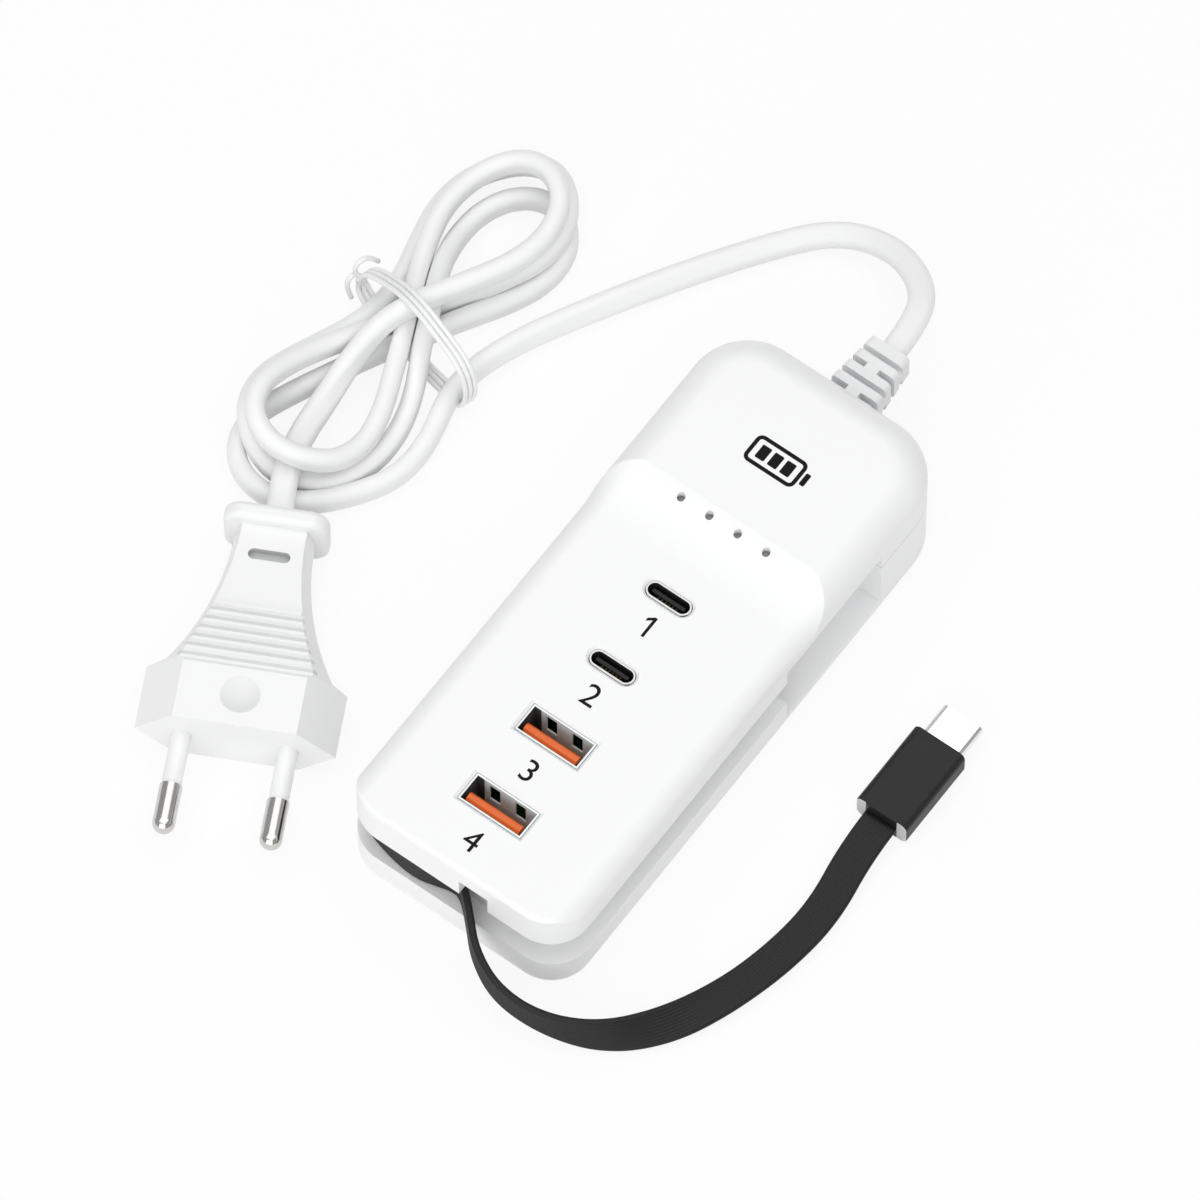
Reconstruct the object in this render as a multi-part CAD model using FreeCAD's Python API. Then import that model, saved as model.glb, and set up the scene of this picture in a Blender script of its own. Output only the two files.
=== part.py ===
"""Desktop charger: two USB-C and two USB-A sockets on top, a flat USB-C cable that winds
into a groove round the tail, and a two-core mains lead with a flat two-pin plug.

Millimetres, +Z up, +X across the width, +Y from the tail to the head where the mains
lead leaves. The origin is at the middle of the underside of the body.
"""
import FreeCAD, Part
import math
import os

V = FreeCAD.Vector
UP = V(0, 0, 1)
ALONG = V(0, 1, 0)

# Body, laid out from the tail front to the head end
front_margin = 14.15
port_pitch = 16.3
port_to_step = 17.55
head_length = 33.4
body_width = 47.0
tail_height = 23.5
head_height = 27.0
head_corner_radius = 11.5
tail_corner_radius = 7.75
head_top_fillet = 6.5
tail_side_fillet = 4.5
front_edge_fillet = 0.9
base_edge_fillet = 1.2
step_run = 11.0
wall = 1.8
head_wall = 3.8
head_space_setback = 2.0

# Winding groove and the pocket that stows the small plug
lower_lip_height = 7.2
groove_height = 7.6
groove_depth = 3.6
pocket_start = 15.3
pocket_length = 27.5
pocket_depth = 6.3
pocket_floor = 2.2
pocket_rise = 3.9
pocket_corner_radius = 3.0
notch_width = 6.0
notch_height = 4.6
notch_x = 5.0

# Seam lip that keeps the two shells in line
seam_lip_height = 1.5
seam_lip_thickness = 0.9
seam_clearance = 0.15

# Circuit board on posts
board_gap = 5.6
board_thickness = 1.6
board_clearance = 0.5
post_diameter = 5.0
screw_diameter = 2.0
screw_hole_clearance = 0.2
screw_head_diameter = 3.8
screw_head_height = 1.3
screw_depth = 3.5
screw_inset = 3.5

# USB-A sockets
usb_a_width = 12.5
usb_a_depth = 5.12
usb_a_tongue_width = 11.1
usb_a_tongue_thickness = 1.84
usb_a_tongue_gap = 0.45
usb_a_contact_width = 1.0
usb_a_contact_pitch = 2.3
usb_a_mouth_recess = 0.4
usb_a_tongue_recess = 1.0
usb_a_spring_width = 2.2
usb_a_spring_height = 5.0
usb_a_spring_spacing = 5.4

# USB-C sockets
usb_c_width = 8.4
usb_c_depth = 2.6
usb_c_tongue_width = 6.7
usb_c_tongue_thickness = 0.7
usb_c_mouth_recess = 0.3
usb_c_tongue_recess = 0.9
usb_c_contact_count = 6
usb_c_contact_width = 0.3
usb_c_contact_pitch = 0.75

socket_shell = 0.3
socket_clearance = 0.15
socket_base_height = 3.0
contact_thickness = 0.15
socket_rim_chamfer = 0.5

# Indicator lights on the step
light_count = 4
light_pitch = 6.0
light_below_step = 1.7
light_hole_diameter = 1.5
light_guide_clearance = 0.1
light_guide_recess = 0.6
light_guide_bar = 2.4
light_guide_bar_height = 1.2
led_size = 1.6
led_height = 1.0
led_gap = 0.4

# Mains lead, its strain relief and the hole that holds it
lead_diameter = 4.4
gland_z = 13.0
gland_neck_width = 7.4
gland_neck_height = 6.0
gland_clearance = 0.1
gland_flange_lip = 0.8
gland_flange_thickness = 1.2
relief_length = 14.0
relief_base_width = 10.4
relief_base_height = 8.0
relief_tip_width = 8.0
relief_tip_height = 6.6
relief_gap_count = 4
relief_gap = 1.1
relief_web = 2.6
core_diameter = 1.6
core_spacing = 2.4
core_bend_radius = 2.6

# Two-pin mains plug
plug_width = 35.0
plug_top_width = 21.6
plug_thickness = 13.7
plug_face_length = 11.8
plug_neck_length = 28.0
plug_neck_width = 14.0
plug_neck_top_width = 9.8
plug_neck_height = 8.8
plug_flare_length = 26.0
plug_flare_width = 29.0
plug_flare_height = 12.2
plug_step_run = 0.8
plug_collar_length = 3.4
plug_collar_width = 18.5
plug_collar_height = 13.0
plug_collar_radius = 3.5
plug_edge_fillet = 1.2
plug_rib_count = 6
plug_rib_pitch = 1.9
plug_rib_width = 1.1
plug_rib_height = 0.6
plug_rib_bevel = 0.25
plug_rib_margin = 0.6
dimple_diameter = 7.0
dimple_depth = 0.7
grip_slot_length = 7.4
grip_slot_width = 2.1
grip_slot_depth = 1.6
grip_slot_offset = 5.8
pin_spacing = 18.6
pin_diameter = 4.0
pin_length = 19.0
pin_sleeve_diameter = 3.5
pin_neck_diameter = 3.1
pin_root_diameter = 3.0
pin_tip_flat = 0.1
pin_sleeve_length = 10.0
pin_root_length = 6.0
plug_collar_x = -67.8
plug_collar_y = -15.0
plug_direction = V(0.45, -0.893, 0)

# Flat cable and its plug
cable_width = 6.5
cable_thickness = 1.4
usb_plug_width = 10.6
usb_plug_thickness = 5.8
usb_plug_length = 17.4
usb_plug_fillet = 1.4
usb_plug_shell_width = 8.34
usb_plug_shell_thickness = 2.56
usb_plug_shell_length = 6.7
usb_plug_shell_wall = 0.3
usb_plug_root_length = 3.0
usb_plug_insert_recess = 0.8
usb_plug_slot_thickness = 0.8
usb_plug_x = 48.4
usb_plug_y = 1.5

# Sizes that follow from those above
body_length = front_margin + 3 * port_pitch + port_to_step + head_length
plug_collar_at = V(plug_collar_x, plug_collar_y, 0)
usb_plug_at = V(usb_plug_x, usb_plug_y, 0)
front_y = -body_length / 2
head_y = body_length / 2
half_width = body_width / 2
port_ys = [front_y + front_margin + index * port_pitch for index in range(4)]
usb_a_ys = port_ys[:2]
usb_c_ys = port_ys[2:]
step_y = port_ys[3] + port_to_step
parting_z = lower_lip_height + groove_height
pocket_y = step_y - pocket_start
pocket_end_y = pocket_y + pocket_length
tail_ceiling = tail_height - wall
head_ceiling = head_height - wall
cavity_inset = groove_depth + wall
cavity_x = half_width - cavity_inset
pocket_wall_x = half_width - pocket_depth - wall
cavity_front_y = front_y + cavity_inset
cavity_head_y = head_y - head_wall
head_cavity_y = step_y + head_space_setback
board_bottom = wall + board_gap
board_top = board_bottom + board_thickness
board_half_width = pocket_wall_x - board_clearance
board_front_y = cavity_front_y + board_clearance
board_head_y = cavity_head_y - board_clearance
usb_a_outer_width = usb_a_width + 2 * socket_shell
usb_a_outer_depth = usb_a_depth + 2 * socket_shell
usb_c_outer_width = usb_c_width + 2 * socket_shell
usb_c_outer_depth = usb_c_depth + 2 * socket_shell


def box(x0, x1, y0, y1, z0, z1):
    return Part.makeBox(x1 - x0, y1 - y0, z1 - z0, V(x0, y0, z0))


def rod(radius, start, end):
    run = end - start
    return Part.makeCylinder(radius, run.Length, start, run)


def fused(solids):
    return solids[0].multiFuse(solids[1:]).removeSplitter() if len(solids) > 1 else solids[0]


def rounded_plan(x0, x1, y0, y1, front_radius, head_radius, z):
    """Flat face: a rectangle whose two front and two head corners have their own radii."""
    corners = [(x0, y0, front_radius), (x1, y0, front_radius), (x1, y1, head_radius), (x0, y1, head_radius)]
    return rounded_polygon([(V(x, y, z), radius) for x, y, radius in corners])


def rounded_polygon(corners):
    """Flat face from (point, radius) pairs. A radius of zero leaves the corner sharp."""
    trimmed = []
    count = len(corners)
    for index, (point, radius) in enumerate(corners):
        before = (corners[index - 1][0] - point).normalize()
        after = (corners[(index + 1) % count][0] - point).normalize()
        if radius <= 0:
            trimmed.append((point, None, point))
            continue
        half_angle = before.getAngle(after) / 2
        reach = radius / math.tan(half_angle)
        inward = (before + after).normalize()
        middle = point + inward * (radius / math.sin(half_angle) - radius)
        trimmed.append((point + before * reach, middle, point + after * reach))
    edges = []
    for index, (start, middle, end) in enumerate(trimmed):
        if middle is not None:
            edges.append(Part.Arc(start, middle, end).toShape())
        next_start = trimmed[(index + 1) % count][0]
        if end.distanceToPoint(next_start) > 1e-6:
            edges.append(Part.LineSegment(end, next_start).toShape())
    return Part.Face(Part.Wire(Part.__sortEdges__(edges)))


def slot_face(width, depth, centre):
    """Flat obround, long way along X."""
    radius = depth / 2
    reach = width / 2 - radius
    right = centre + V(reach, 0, 0)
    left = centre - V(reach, 0, 0)
    side = V(0, radius, 0)
    edges = [
        Part.LineSegment(left - side, right - side).toShape(),
        Part.Arc(right - side, right + V(radius, 0, 0), right + side).toShape(),
        Part.LineSegment(right + side, left + side).toShape(),
        Part.Arc(left + side, left - V(radius, 0, 0), left - side).toShape(),
    ]
    return Part.Face(Part.Wire(edges))


def slot_prism(width, depth, x, y, z0, z1):
    return slot_face(width, depth, V(x, y, z0)).extrude(V(0, 0, z1 - z0))


def edges_where(shape, test):
    return [edge for edge in shape.Edges if test(edge.BoundBox)]


def body_plan(inset, z0, z1):
    plan = rounded_plan(
        -half_width + inset, half_width - inset, front_y + inset, head_y - inset,
        tail_corner_radius - inset, head_corner_radius - inset, z0)
    return plan.extrude(V(0, 0, z1 - z0))


def cavity(grow, z0, z1):
    """Inner space of both shells: straight sides, with a bay left clear for the pocket."""
    right = cavity_x + grow
    bay = pocket_wall_x + grow
    tail_radius = tail_corner_radius - cavity_inset + grow
    head_radius = head_corner_radius - cavity_inset + grow
    bay_radius = wall
    corners = [
        (-right, cavity_front_y - grow, tail_radius),
        (right, cavity_front_y - grow, tail_radius),
        (right, pocket_y - wall + grow, bay_radius / 2),
        (bay, pocket_y - wall + grow, bay_radius / 2),
        (bay, pocket_end_y + wall - grow, bay_radius / 2),
        (right, pocket_end_y + wall - grow, bay_radius / 2),
        (right, cavity_head_y + grow, head_radius),
        (-right, cavity_head_y + grow, head_radius),
    ]
    plan = rounded_polygon([(V(x, y, z0), radius) for x, y, radius in corners])
    return plan.extrude(V(0, 0, z1 - z0))


def gland_hole():
    """Opening in the head wall, half in each shell, that the strain relief's neck fills."""
    return box(
        -gland_neck_width / 2 - gland_clearance, gland_neck_width / 2 + gland_clearance,
        cavity_head_y - wall, head_y + wall,
        gland_z - gland_neck_height / 2 - gland_clearance, gland_z + gland_neck_height / 2 + gland_clearance)


def plug_pocket(top):
    """Recess in the right side that stows the small plug. It reaches over the seam into the cap."""
    plan = rounded_polygon([
        (V(half_width - pocket_depth, pocket_y, pocket_floor), 0),
        (V(half_width + wall, pocket_y, pocket_floor), 0),
        (V(half_width + wall, pocket_end_y, pocket_floor), 0),
        (V(half_width - pocket_depth, pocket_end_y, pocket_floor), pocket_corner_radius),
    ])
    return plan.extrude(V(0, 0, top - pocket_floor))


def scoop():
    """What is cut away above the tail. One profile runs over the top and turns down each side,
    so that the step runs out softly where the head and tail walls meet."""
    rise = head_height - tail_height
    foot_y = step_y - step_run
    radius = (step_run ** 2 + rise ** 2) / (2 * rise)
    turn = 2 * math.atan2(rise, step_run)
    reach = rise + wall + head_top_fillet
    top_y = step_y + (reach - rise) / math.tan(turn)
    bend_x = half_width - tail_side_fillet
    bend_z = tail_height - tail_side_fillet
    before_front = front_y - body_width

    def at(y, height):
        return V(bend_x, y, tail_height + height)

    middle = at(foot_y + radius * math.sin(turn / 2), radius * (1 - math.cos(turn / 2)))
    profile = Part.Face(Part.Wire([
        Part.LineSegment(at(before_front, 0), at(foot_y, 0)).toShape(),
        Part.Arc(at(foot_y, 0), middle, at(step_y, rise)).toShape(),
        Part.LineSegment(at(step_y, rise), at(top_y, reach)).toShape(),
        Part.LineSegment(at(top_y, reach), at(before_front, reach)).toShape(),
        Part.LineSegment(at(before_front, reach), at(before_front, 0)).toShape(),
    ]))
    top = profile.extrude(V(-2 * bend_x, 0, 0))
    right = profile.revolve(V(bend_x, 0, bend_z), ALONG, 90)
    left = right.mirror(V(0, 0, 0), V(1, 0, 0))
    return [top, right, left]


def socket_openings():
    """Mouths in the top of the tail, wider at the rim, which is chamfered."""
    cuts = []
    gap = 2 * socket_clearance
    for y in usb_a_ys:
        width = usb_a_outer_width + gap
        depth = usb_a_outer_depth + gap
        cuts.append(box(-width / 2, width / 2, y - depth / 2, y + depth / 2, parting_z, head_height))
    for y in usb_c_ys:
        width = usb_c_outer_width + gap
        depth = usb_c_outer_depth + gap
        cuts.append(slot_prism(width, depth, 0, y, parting_z, head_height))
    return cuts


light_xs = [(index - (light_count - 1) / 2) * light_pitch for index in range(light_count)]
light_y = step_y - light_below_step


def front_waste():
    """What lies outside the tail's rounded front corners and its narrow front edge."""
    tail = body_plan(0, parting_z, tail_height)
    tail = tail.makeFillet(front_edge_fillet, edges_where(tail, lambda b: b.ZMin > tail_height - 1e-3))
    around = box(-body_width, body_width, front_y - wall, front_y + tail_corner_radius,
                 parting_z, head_height)
    return around.cut(tail)


def upper_housing():
    """Cap of the body: the raised head, the step, the tail top and the groove's upper face."""
    square_front = rounded_plan(-half_width, half_width, front_y, head_y, 0, head_corner_radius, parting_z)
    shell = square_front.extrude(V(0, 0, head_height - parting_z))
    top_edges = edges_where(shell, lambda b: b.ZMin > head_height - 1e-3 and b.YMax > front_y + 1e-3)
    shell = shell.makeFillet(head_top_fillet, top_edges)
    for cut in scoop():
        shell = shell.cut(cut)
    shell = shell.cut(front_waste())
    shell = shell.cut(cavity(0, parting_z, tail_ceiling))
    head_space = rounded_plan(-cavity_x, cavity_x, head_cavity_y, cavity_head_y,
                              wall, head_corner_radius - cavity_inset, tail_ceiling - wall)
    shell = shell.cut(head_space.extrude(V(0, 0, head_ceiling - tail_ceiling + wall)))
    rebate = seam_lip_height + seam_clearance
    shell = shell.cut(cavity(seam_lip_thickness + seam_clearance, parting_z, parting_z + rebate))
    shell = shell.cut(plug_pocket(parting_z + pocket_rise))
    for cut in socket_openings():
        shell = shell.cut(cut)
    mouths = edges_where(
        shell, lambda b: b.ZMin > tail_height - 1e-3 and b.ZMax < tail_height + 1e-3
        and abs(b.XMax + b.XMin) < usb_a_outer_width + 1
        and b.XMax < usb_a_outer_width and b.XMin > -usb_a_outer_width
        and b.YMin > port_ys[0] - port_pitch / 2 and b.YMax < port_ys[3] + usb_a_depth
        and b.XLength < usb_a_outer_width + 2 * socket_clearance + 1e-3)
    shell = shell.makeChamfer(socket_rim_chamfer, mouths)
    for x in light_xs:
        shell = shell.cut(rod(light_hole_diameter / 2, V(x, light_y, parting_z), V(x, light_y, head_height)))
    shell = shell.cut(gland_hole())
    notch = box(notch_x - notch_width / 2, notch_x + notch_width / 2,
                front_y - wall, front_y + groove_depth, parting_z, parting_z + notch_height)
    return shell.cut(notch)


def post_places():
    """Screw posts beside the sockets, then plain rests under the head end of the board."""
    x = board_half_width - screw_inset
    screwed = [(side * x, (port_ys[1] + port_ys[2]) / 2) for side in (-1, 1)]
    screwed += [(side * x, board_front_y + screw_inset) for side in (-1, 1)]
    plain = [(side * x, board_head_y - screw_inset) for side in (-1, 1)]
    return screwed, plain


def lower_housing():
    """Tub of the body: base, lower lip, neck that the cable winds on, pocket and board posts."""
    tub = body_plan(0, 0, parting_z)
    tub = tub.makeFillet(base_edge_fillet, edges_where(tub, lambda b: b.ZMax < 1e-3))
    winding = box(-body_width, body_width, front_y - wall, pocket_y, lower_lip_height, parting_z)
    tub = tub.cut(winding.cut(body_plan(groove_depth, 0, head_height)))
    tub = tub.cut(plug_pocket(parting_z))
    tub = tub.cut(cavity(0, wall, parting_z))
    lip_top = parting_z + seam_lip_height
    lip = cavity(seam_lip_thickness, parting_z, lip_top).cut(cavity(0, parting_z, lip_top))
    screwed, plain = post_places()
    posts = [rod(post_diameter / 2, V(x, y, wall), V(x, y, board_bottom)) for x, y in screwed + plain]
    tub = fused([tub, lip] + posts).cut(gland_hole())
    for x, y in screwed:
        tub = tub.cut(rod(screw_diameter / 2, V(x, y, board_bottom - screw_depth), V(x, y, board_bottom)))
    return tub


def usb_a_shell(y):
    """Folded steel shell of a standing socket, with spring windows in its two long walls."""
    top = tail_height - usb_a_mouth_recess
    outer = box(-usb_a_outer_width / 2, usb_a_outer_width / 2,
                y - usb_a_outer_depth / 2, y + usb_a_outer_depth / 2, board_top, top)
    inner = box(-usb_a_width / 2, usb_a_width / 2, y - usb_a_depth / 2, y + usb_a_depth / 2, board_top, top)
    shell = outer.cut(inner)
    window_top = top - usb_a_tongue_recess
    for side in (-1, 1):
        x = side * usb_a_spring_spacing / 2
        shell = shell.cut(box(x - usb_a_spring_width / 2, x + usb_a_spring_width / 2,
                              y - usb_a_outer_depth, y + usb_a_outer_depth,
                              window_top - usb_a_spring_height, window_top))
    return shell


def usb_a_blade_face(y):
    return y - usb_a_depth / 2 + usb_a_tongue_gap + usb_a_tongue_thickness


def usb_a_tongue(y):
    """Coloured insulator: a base that fills the shell's foot and the blade that carries the contacts."""
    base = box(-usb_a_width / 2, usb_a_width / 2, y - usb_a_depth / 2, y + usb_a_depth / 2,
               board_top, board_top + socket_base_height)
    face = usb_a_blade_face(y)
    blade = box(-usb_a_tongue_width / 2, usb_a_tongue_width / 2, face - usb_a_tongue_thickness, face,
                board_top + socket_base_height, tail_height - usb_a_tongue_recess)
    tip = edges_where(blade, lambda b: b.ZMin > tail_height - usb_a_tongue_recess - 1e-3 and b.XLength > 1)
    blade = blade.makeChamfer(usb_a_tongue_gap, tip)
    return fused([base, blade])


def usb_a_contacts(y):
    """Four sprung strips on the inner face of the blade."""
    face = usb_a_blade_face(y)
    bottom = board_top + socket_base_height
    top = tail_height - 2 * usb_a_tongue_recess
    strips = []
    for index in range(4):
        x = (index - 1.5) * usb_a_contact_pitch
        strips.append(box(x - usb_a_contact_width / 2, x + usb_a_contact_width / 2,
                          face, face + contact_thickness, bottom, top))
    return Part.Compound(strips)


def usb_c_shell(y):
    """Drawn steel shell of a standing socket."""
    top = tail_height - usb_c_mouth_recess
    outer = slot_prism(usb_c_outer_width, usb_c_outer_depth, 0, y, board_top, top)
    return outer.cut(slot_prism(usb_c_width, usb_c_depth, 0, y, board_top, top))


def usb_c_tongue(y):
    """Black insulator: base and the thin centre tongue."""
    base_top = board_top + socket_base_height
    base = slot_prism(usb_c_width, usb_c_depth, 0, y, board_top, base_top)
    blade = box(-usb_c_tongue_width / 2, usb_c_tongue_width / 2,
                y - usb_c_tongue_thickness / 2, y + usb_c_tongue_thickness / 2,
                base_top, tail_height - usb_c_tongue_recess)
    return fused([base, blade])


def usb_c_contacts(y):
    """Contact strips on both faces of the tongue."""
    bottom = board_top + socket_base_height
    top = tail_height - 2 * usb_c_tongue_recess
    strips = []
    for index in range(usb_c_contact_count):
        x = (index - (usb_c_contact_count - 1) / 2) * usb_c_contact_pitch
        for side in (-1, 1):
            face = y + side * usb_c_tongue_thickness / 2
            back = face + side * contact_thickness
            strips.append(box(x - usb_c_contact_width / 2, x + usb_c_contact_width / 2,
                              min(face, back), max(face, back), bottom, top))
    return Part.Compound(strips)


def step_surface(y):
    """Height of the step's hollow at a place along the body."""
    rise = head_height - tail_height
    radius = (step_run ** 2 + rise ** 2) / (2 * rise)
    return tail_height + radius - math.sqrt(radius ** 2 - (y - step_y + step_run) ** 2)


def light_guide():
    """Clear comb: four rods in the step's holes, on a bar that is stuck under the tail top."""
    bar = box(light_xs[0] - light_guide_bar / 2, light_xs[-1] + light_guide_bar / 2,
              light_y - light_guide_bar / 2, light_y + light_guide_bar / 2,
              tail_ceiling - light_guide_bar_height, tail_ceiling)
    radius = light_hole_diameter / 2 - light_guide_clearance
    bottom = board_top + led_height + led_gap
    top = step_surface(light_y - light_hole_diameter / 2) - light_guide_recess
    return fused([bar] + [rod(radius, V(x, light_y, bottom), V(x, light_y, top)) for x in light_xs])


def indicator_leds():
    half = led_size / 2
    return Part.Compound([
        box(x - half, x + half, light_y - half, light_y + half, board_top, board_top + led_height)
        for x in light_xs])


def main_board():
    board = box(-board_half_width, board_half_width, board_front_y, board_head_y, board_bottom, board_top)
    corners = edges_where(board, lambda b: b.ZLength > board_thickness - 1e-3)
    board = board.makeChamfer(wall, corners)
    hole = screw_diameter / 2 + screw_hole_clearance
    for x, y in post_places()[0]:
        board = board.cut(rod(hole, V(x, y, board_bottom), V(x, y, board_top)))
    return board


def board_screws():
    """Pan-head screws with a cross recess, through the board into the posts."""
    screws = []
    recess = screw_head_diameter / 6
    for x, y in post_places()[0]:
        shank = rod(screw_diameter / 2, V(x, y, board_bottom - screw_depth), V(x, y, board_top))
        head = rod(screw_head_diameter / 2, V(x, y, board_top), V(x, y, board_top + screw_head_height))
        head = head.makeFillet(screw_head_height / 3, edges_where(
            head, lambda b: b.ZMin > board_top + screw_head_height - 1e-3))
        for long_x, long_y in ((2, 0.5), (0.5, 2)):
            head = head.cut(box(x - recess * long_x, x + recess * long_x,
                                y - recess * long_y, y + recess * long_y,
                                board_top + screw_head_height / 2, board_top + screw_head_height))
        screws.append(fused([shank, head]))
    return Part.Compound(screws)


# Power parts on the board: sizes and places
transformer_x = -4.0
core_width = 16.0
core_depth = 5.0
core_height = 11.5
core_leg = 4.4
core_yoke = 2.2
former_wall = 0.5
former_clearance = 0.1
winding_depth = 10.4
transformer_y = head_cavity_y + board_clearance + winding_depth / 2
storage_can_diameter = 8.0
storage_can_height = 12.0
storage_can_gap = 1.0
storage_can_left = 9.5
storage_can_setback = 12.6
storage_can_xs = (-storage_can_left, storage_can_diameter + storage_can_gap - storage_can_left)
storage_can_y = head_y - storage_can_setback
filter_can_diameter = 8.0
filter_can_height = 9.0
filter_can_y = (usb_c_ys[0] + usb_c_ys[1]) / 2
filter_can_x = board_half_width - filter_can_diameter / 2 - board_clearance
can_bead = 0.4
film_capacitor = (5.0, 8.0, 9.0)
film_setback = 20.0
film_x = (transformer_x + core_width / 2 + board_half_width) / 2
film_capacitor_at = (film_x, head_y - film_setback)
choke_diameter = 7.5
choke_height = 9.0
choke_flange = 1.2
choke_core_diameter = 3.6
choke_setback = 10.5
choke_x = (storage_can_xs[1] + storage_can_diameter / 2 + board_half_width) / 2
choke_at = (choke_x, head_y - choke_setback)
fuse_diameter = 3.6
fuse_cap_length = 2.0
fuse_corner_gap = 3.8
fuse_flange_gap = 0.8
fuse_setback = 2.6
fuse_start_x = fuse_corner_gap - cavity_x
fuse_end_x = -gland_neck_width / 2 - gland_flange_lip - fuse_flange_gap
fuse_y = cavity_head_y - fuse_setback
disc_capacitor_diameter = 7.0
disc_capacitor_thickness = 2.4
disc_capacitor_inset = 6.9
disc_capacitor_x = disc_capacitor_inset - board_half_width
disc_capacitor_setback = 11.0
disc_capacitor_at = (disc_capacitor_x, step_y - disc_capacitor_setback)
bridge_size = (6.4, 5.0, 2.2)
bridge_x = -7.0
bridge_setback = 16.0
bridge_at = (bridge_x, head_y - bridge_setback)
chip_size = (5.0, 4.0, 1.5)
chip_x = 5.0
chip_setback = 4.0
chip_places = [(chip_x, step_y - chip_setback), (0.0, filter_can_y), (0.0, (usb_a_ys[1] + usb_c_ys[0]) / 2)]
sink_thickness = 1.5
sink_length = 10.0
sink_height = 10.0
sink_x = pocket_wall_x - board_clearance - sink_thickness - board_clearance / 2
sink_y = step_y - light_below_step - led_size - sink_length
switch_body = (4.5, 10.0, 7.0)
switch_lift = 1.2
switch_tab_thickness = 1.3
switch_ceiling_gap = 1.5
switch_tab_top = tail_ceiling - switch_ceiling_gap
switch_leg = 0.8
switch_leg_pitch = 2.54


def transformer_core():
    """Two E halves of ferrite, closed round the former."""
    x0 = transformer_x - core_width / 2
    bottom = board_top
    outer = box(x0, x0 + core_width, transformer_y - core_depth / 2, transformer_y + core_depth / 2,
                bottom, bottom + core_height)
    for side in (-1, 1):
        inner = transformer_x + side * core_leg / 2
        outside = transformer_x + side * (core_width / 2 - core_yoke)
        outer = outer.cut(box(min(inner, outside), max(inner, outside),
                              transformer_y - core_depth, transformer_y + core_depth,
                              bottom + core_yoke, bottom + core_height - core_yoke))
    return outer


def former_ring(half_x, half_y, z0, z1):
    hole_x = core_leg / 2 + former_clearance
    hole_y = core_depth / 2 + former_clearance
    outer = box(transformer_x - half_x, transformer_x + half_x,
                transformer_y - half_y, transformer_y + half_y, z0, z1)
    return outer.cut(box(transformer_x - hole_x, transformer_x + hole_x,
                         transformer_y - hole_y, transformer_y + hole_y, z0, z1))


def coil_former():
    """Moulded former: a tube on the centre leg with a flange at each end."""
    z0 = board_top + core_yoke
    z1 = board_top + core_height - core_yoke
    tube_x = core_leg / 2 + former_clearance + former_wall
    tube_y = core_depth / 2 + former_clearance + former_wall
    flange_x = core_width / 2 - core_yoke - former_clearance
    flange_y = winding_depth / 2
    return fused([
        former_ring(tube_x, tube_y, z0, z1),
        former_ring(flange_x, flange_y, z0, z0 + former_wall),
        former_ring(flange_x, flange_y, z1 - former_wall, z1),
    ])


def coil_winding():
    """Taped windings between the flanges."""
    z0 = board_top + core_yoke + former_wall
    z1 = board_top + core_height - core_yoke - former_wall
    half_x = core_width / 2 - core_yoke - 2 * former_clearance
    half_y = winding_depth / 2 - former_clearance
    outer = box(transformer_x - half_x, transformer_x + half_x,
                transformer_y - half_y, transformer_y + half_y, z0, z1)
    outer = outer.makeFillet(wall / 2, edges_where(outer, lambda b: b.ZLength > z1 - z0 - 1e-3))
    tube_x = core_leg / 2 + former_clearance + former_wall
    tube_y = core_depth / 2 + former_clearance + former_wall
    return outer.cut(box(transformer_x - tube_x, transformer_x + tube_x,
                         transformer_y - tube_y, transformer_y + tube_y, z0, z1))


def capacitor_can(x, y, diameter, height):
    """Rolled aluminium can: crimped bead near the foot, rounded top edge."""
    radius = diameter / 2
    can = rod(radius, V(x, y, board_top), V(x, y, board_top + height))
    bead_z = board_top + 3 * can_bead
    bead = Part.makeTorus(radius + can_bead / 2, can_bead, V(x, y, bead_z))
    can = can.cut(bead)
    return can.makeFillet(can_bead, edges_where(can, lambda b: b.ZMin > board_top + height - 1e-3))


def capacitor_pair(places, diameter, height):
    return Part.Compound([capacitor_can(x, y, diameter, height) for x, y in places])


def film_capacitor_body():
    width, length, height = film_capacitor
    x, y = film_capacitor_at
    body = box(x - width / 2, x + width / 2, y - length / 2, y + length / 2, board_top, board_top + height)
    return body.makeFillet(can_bead, edges_where(body, lambda b: b.ZMax > board_top + can_bead))


def choke_core():
    """Drum core: a spindle between two flanges."""
    x, y = choke_at
    top = board_top + choke_height
    return fused([
        rod(choke_diameter / 2, V(x, y, board_top), V(x, y, board_top + choke_flange)),
        rod(choke_core_diameter / 2, V(x, y, board_top), V(x, y, top)),
        rod(choke_diameter / 2, V(x, y, top - choke_flange), V(x, y, top)),
    ])


def choke_winding():
    x, y = choke_at
    bottom = V(x, y, board_top + choke_flange)
    top = V(x, y, board_top + choke_height - choke_flange)
    outer = rod(choke_diameter / 2 - can_bead, bottom, top)
    return outer.cut(rod(choke_core_diameter / 2, bottom, top))


def mains_fuse():
    """Ceramic tube with a pressed cap on each end, lying on the board."""
    radius = fuse_diameter / 2
    start = V(fuse_start_x, fuse_y, board_top + radius)
    end = V(fuse_end_x, fuse_y, board_top + radius)
    cap = V(fuse_cap_length, 0, 0)
    return fused([rod(radius - contact_thickness, start, end),
                  rod(radius, start, start + cap), rod(radius, end - cap, end)])


def under_board(size, place):
    """Flat part soldered to the underside of the board."""
    width, length, height = size
    x, y = place
    body = box(x - width / 2, x + width / 2, y - length / 2, y + length / 2,
               board_bottom - height, board_bottom)
    return body.makeChamfer(can_bead, edges_where(body, lambda b: b.ZMax < board_bottom - height + 1e-3))


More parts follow.
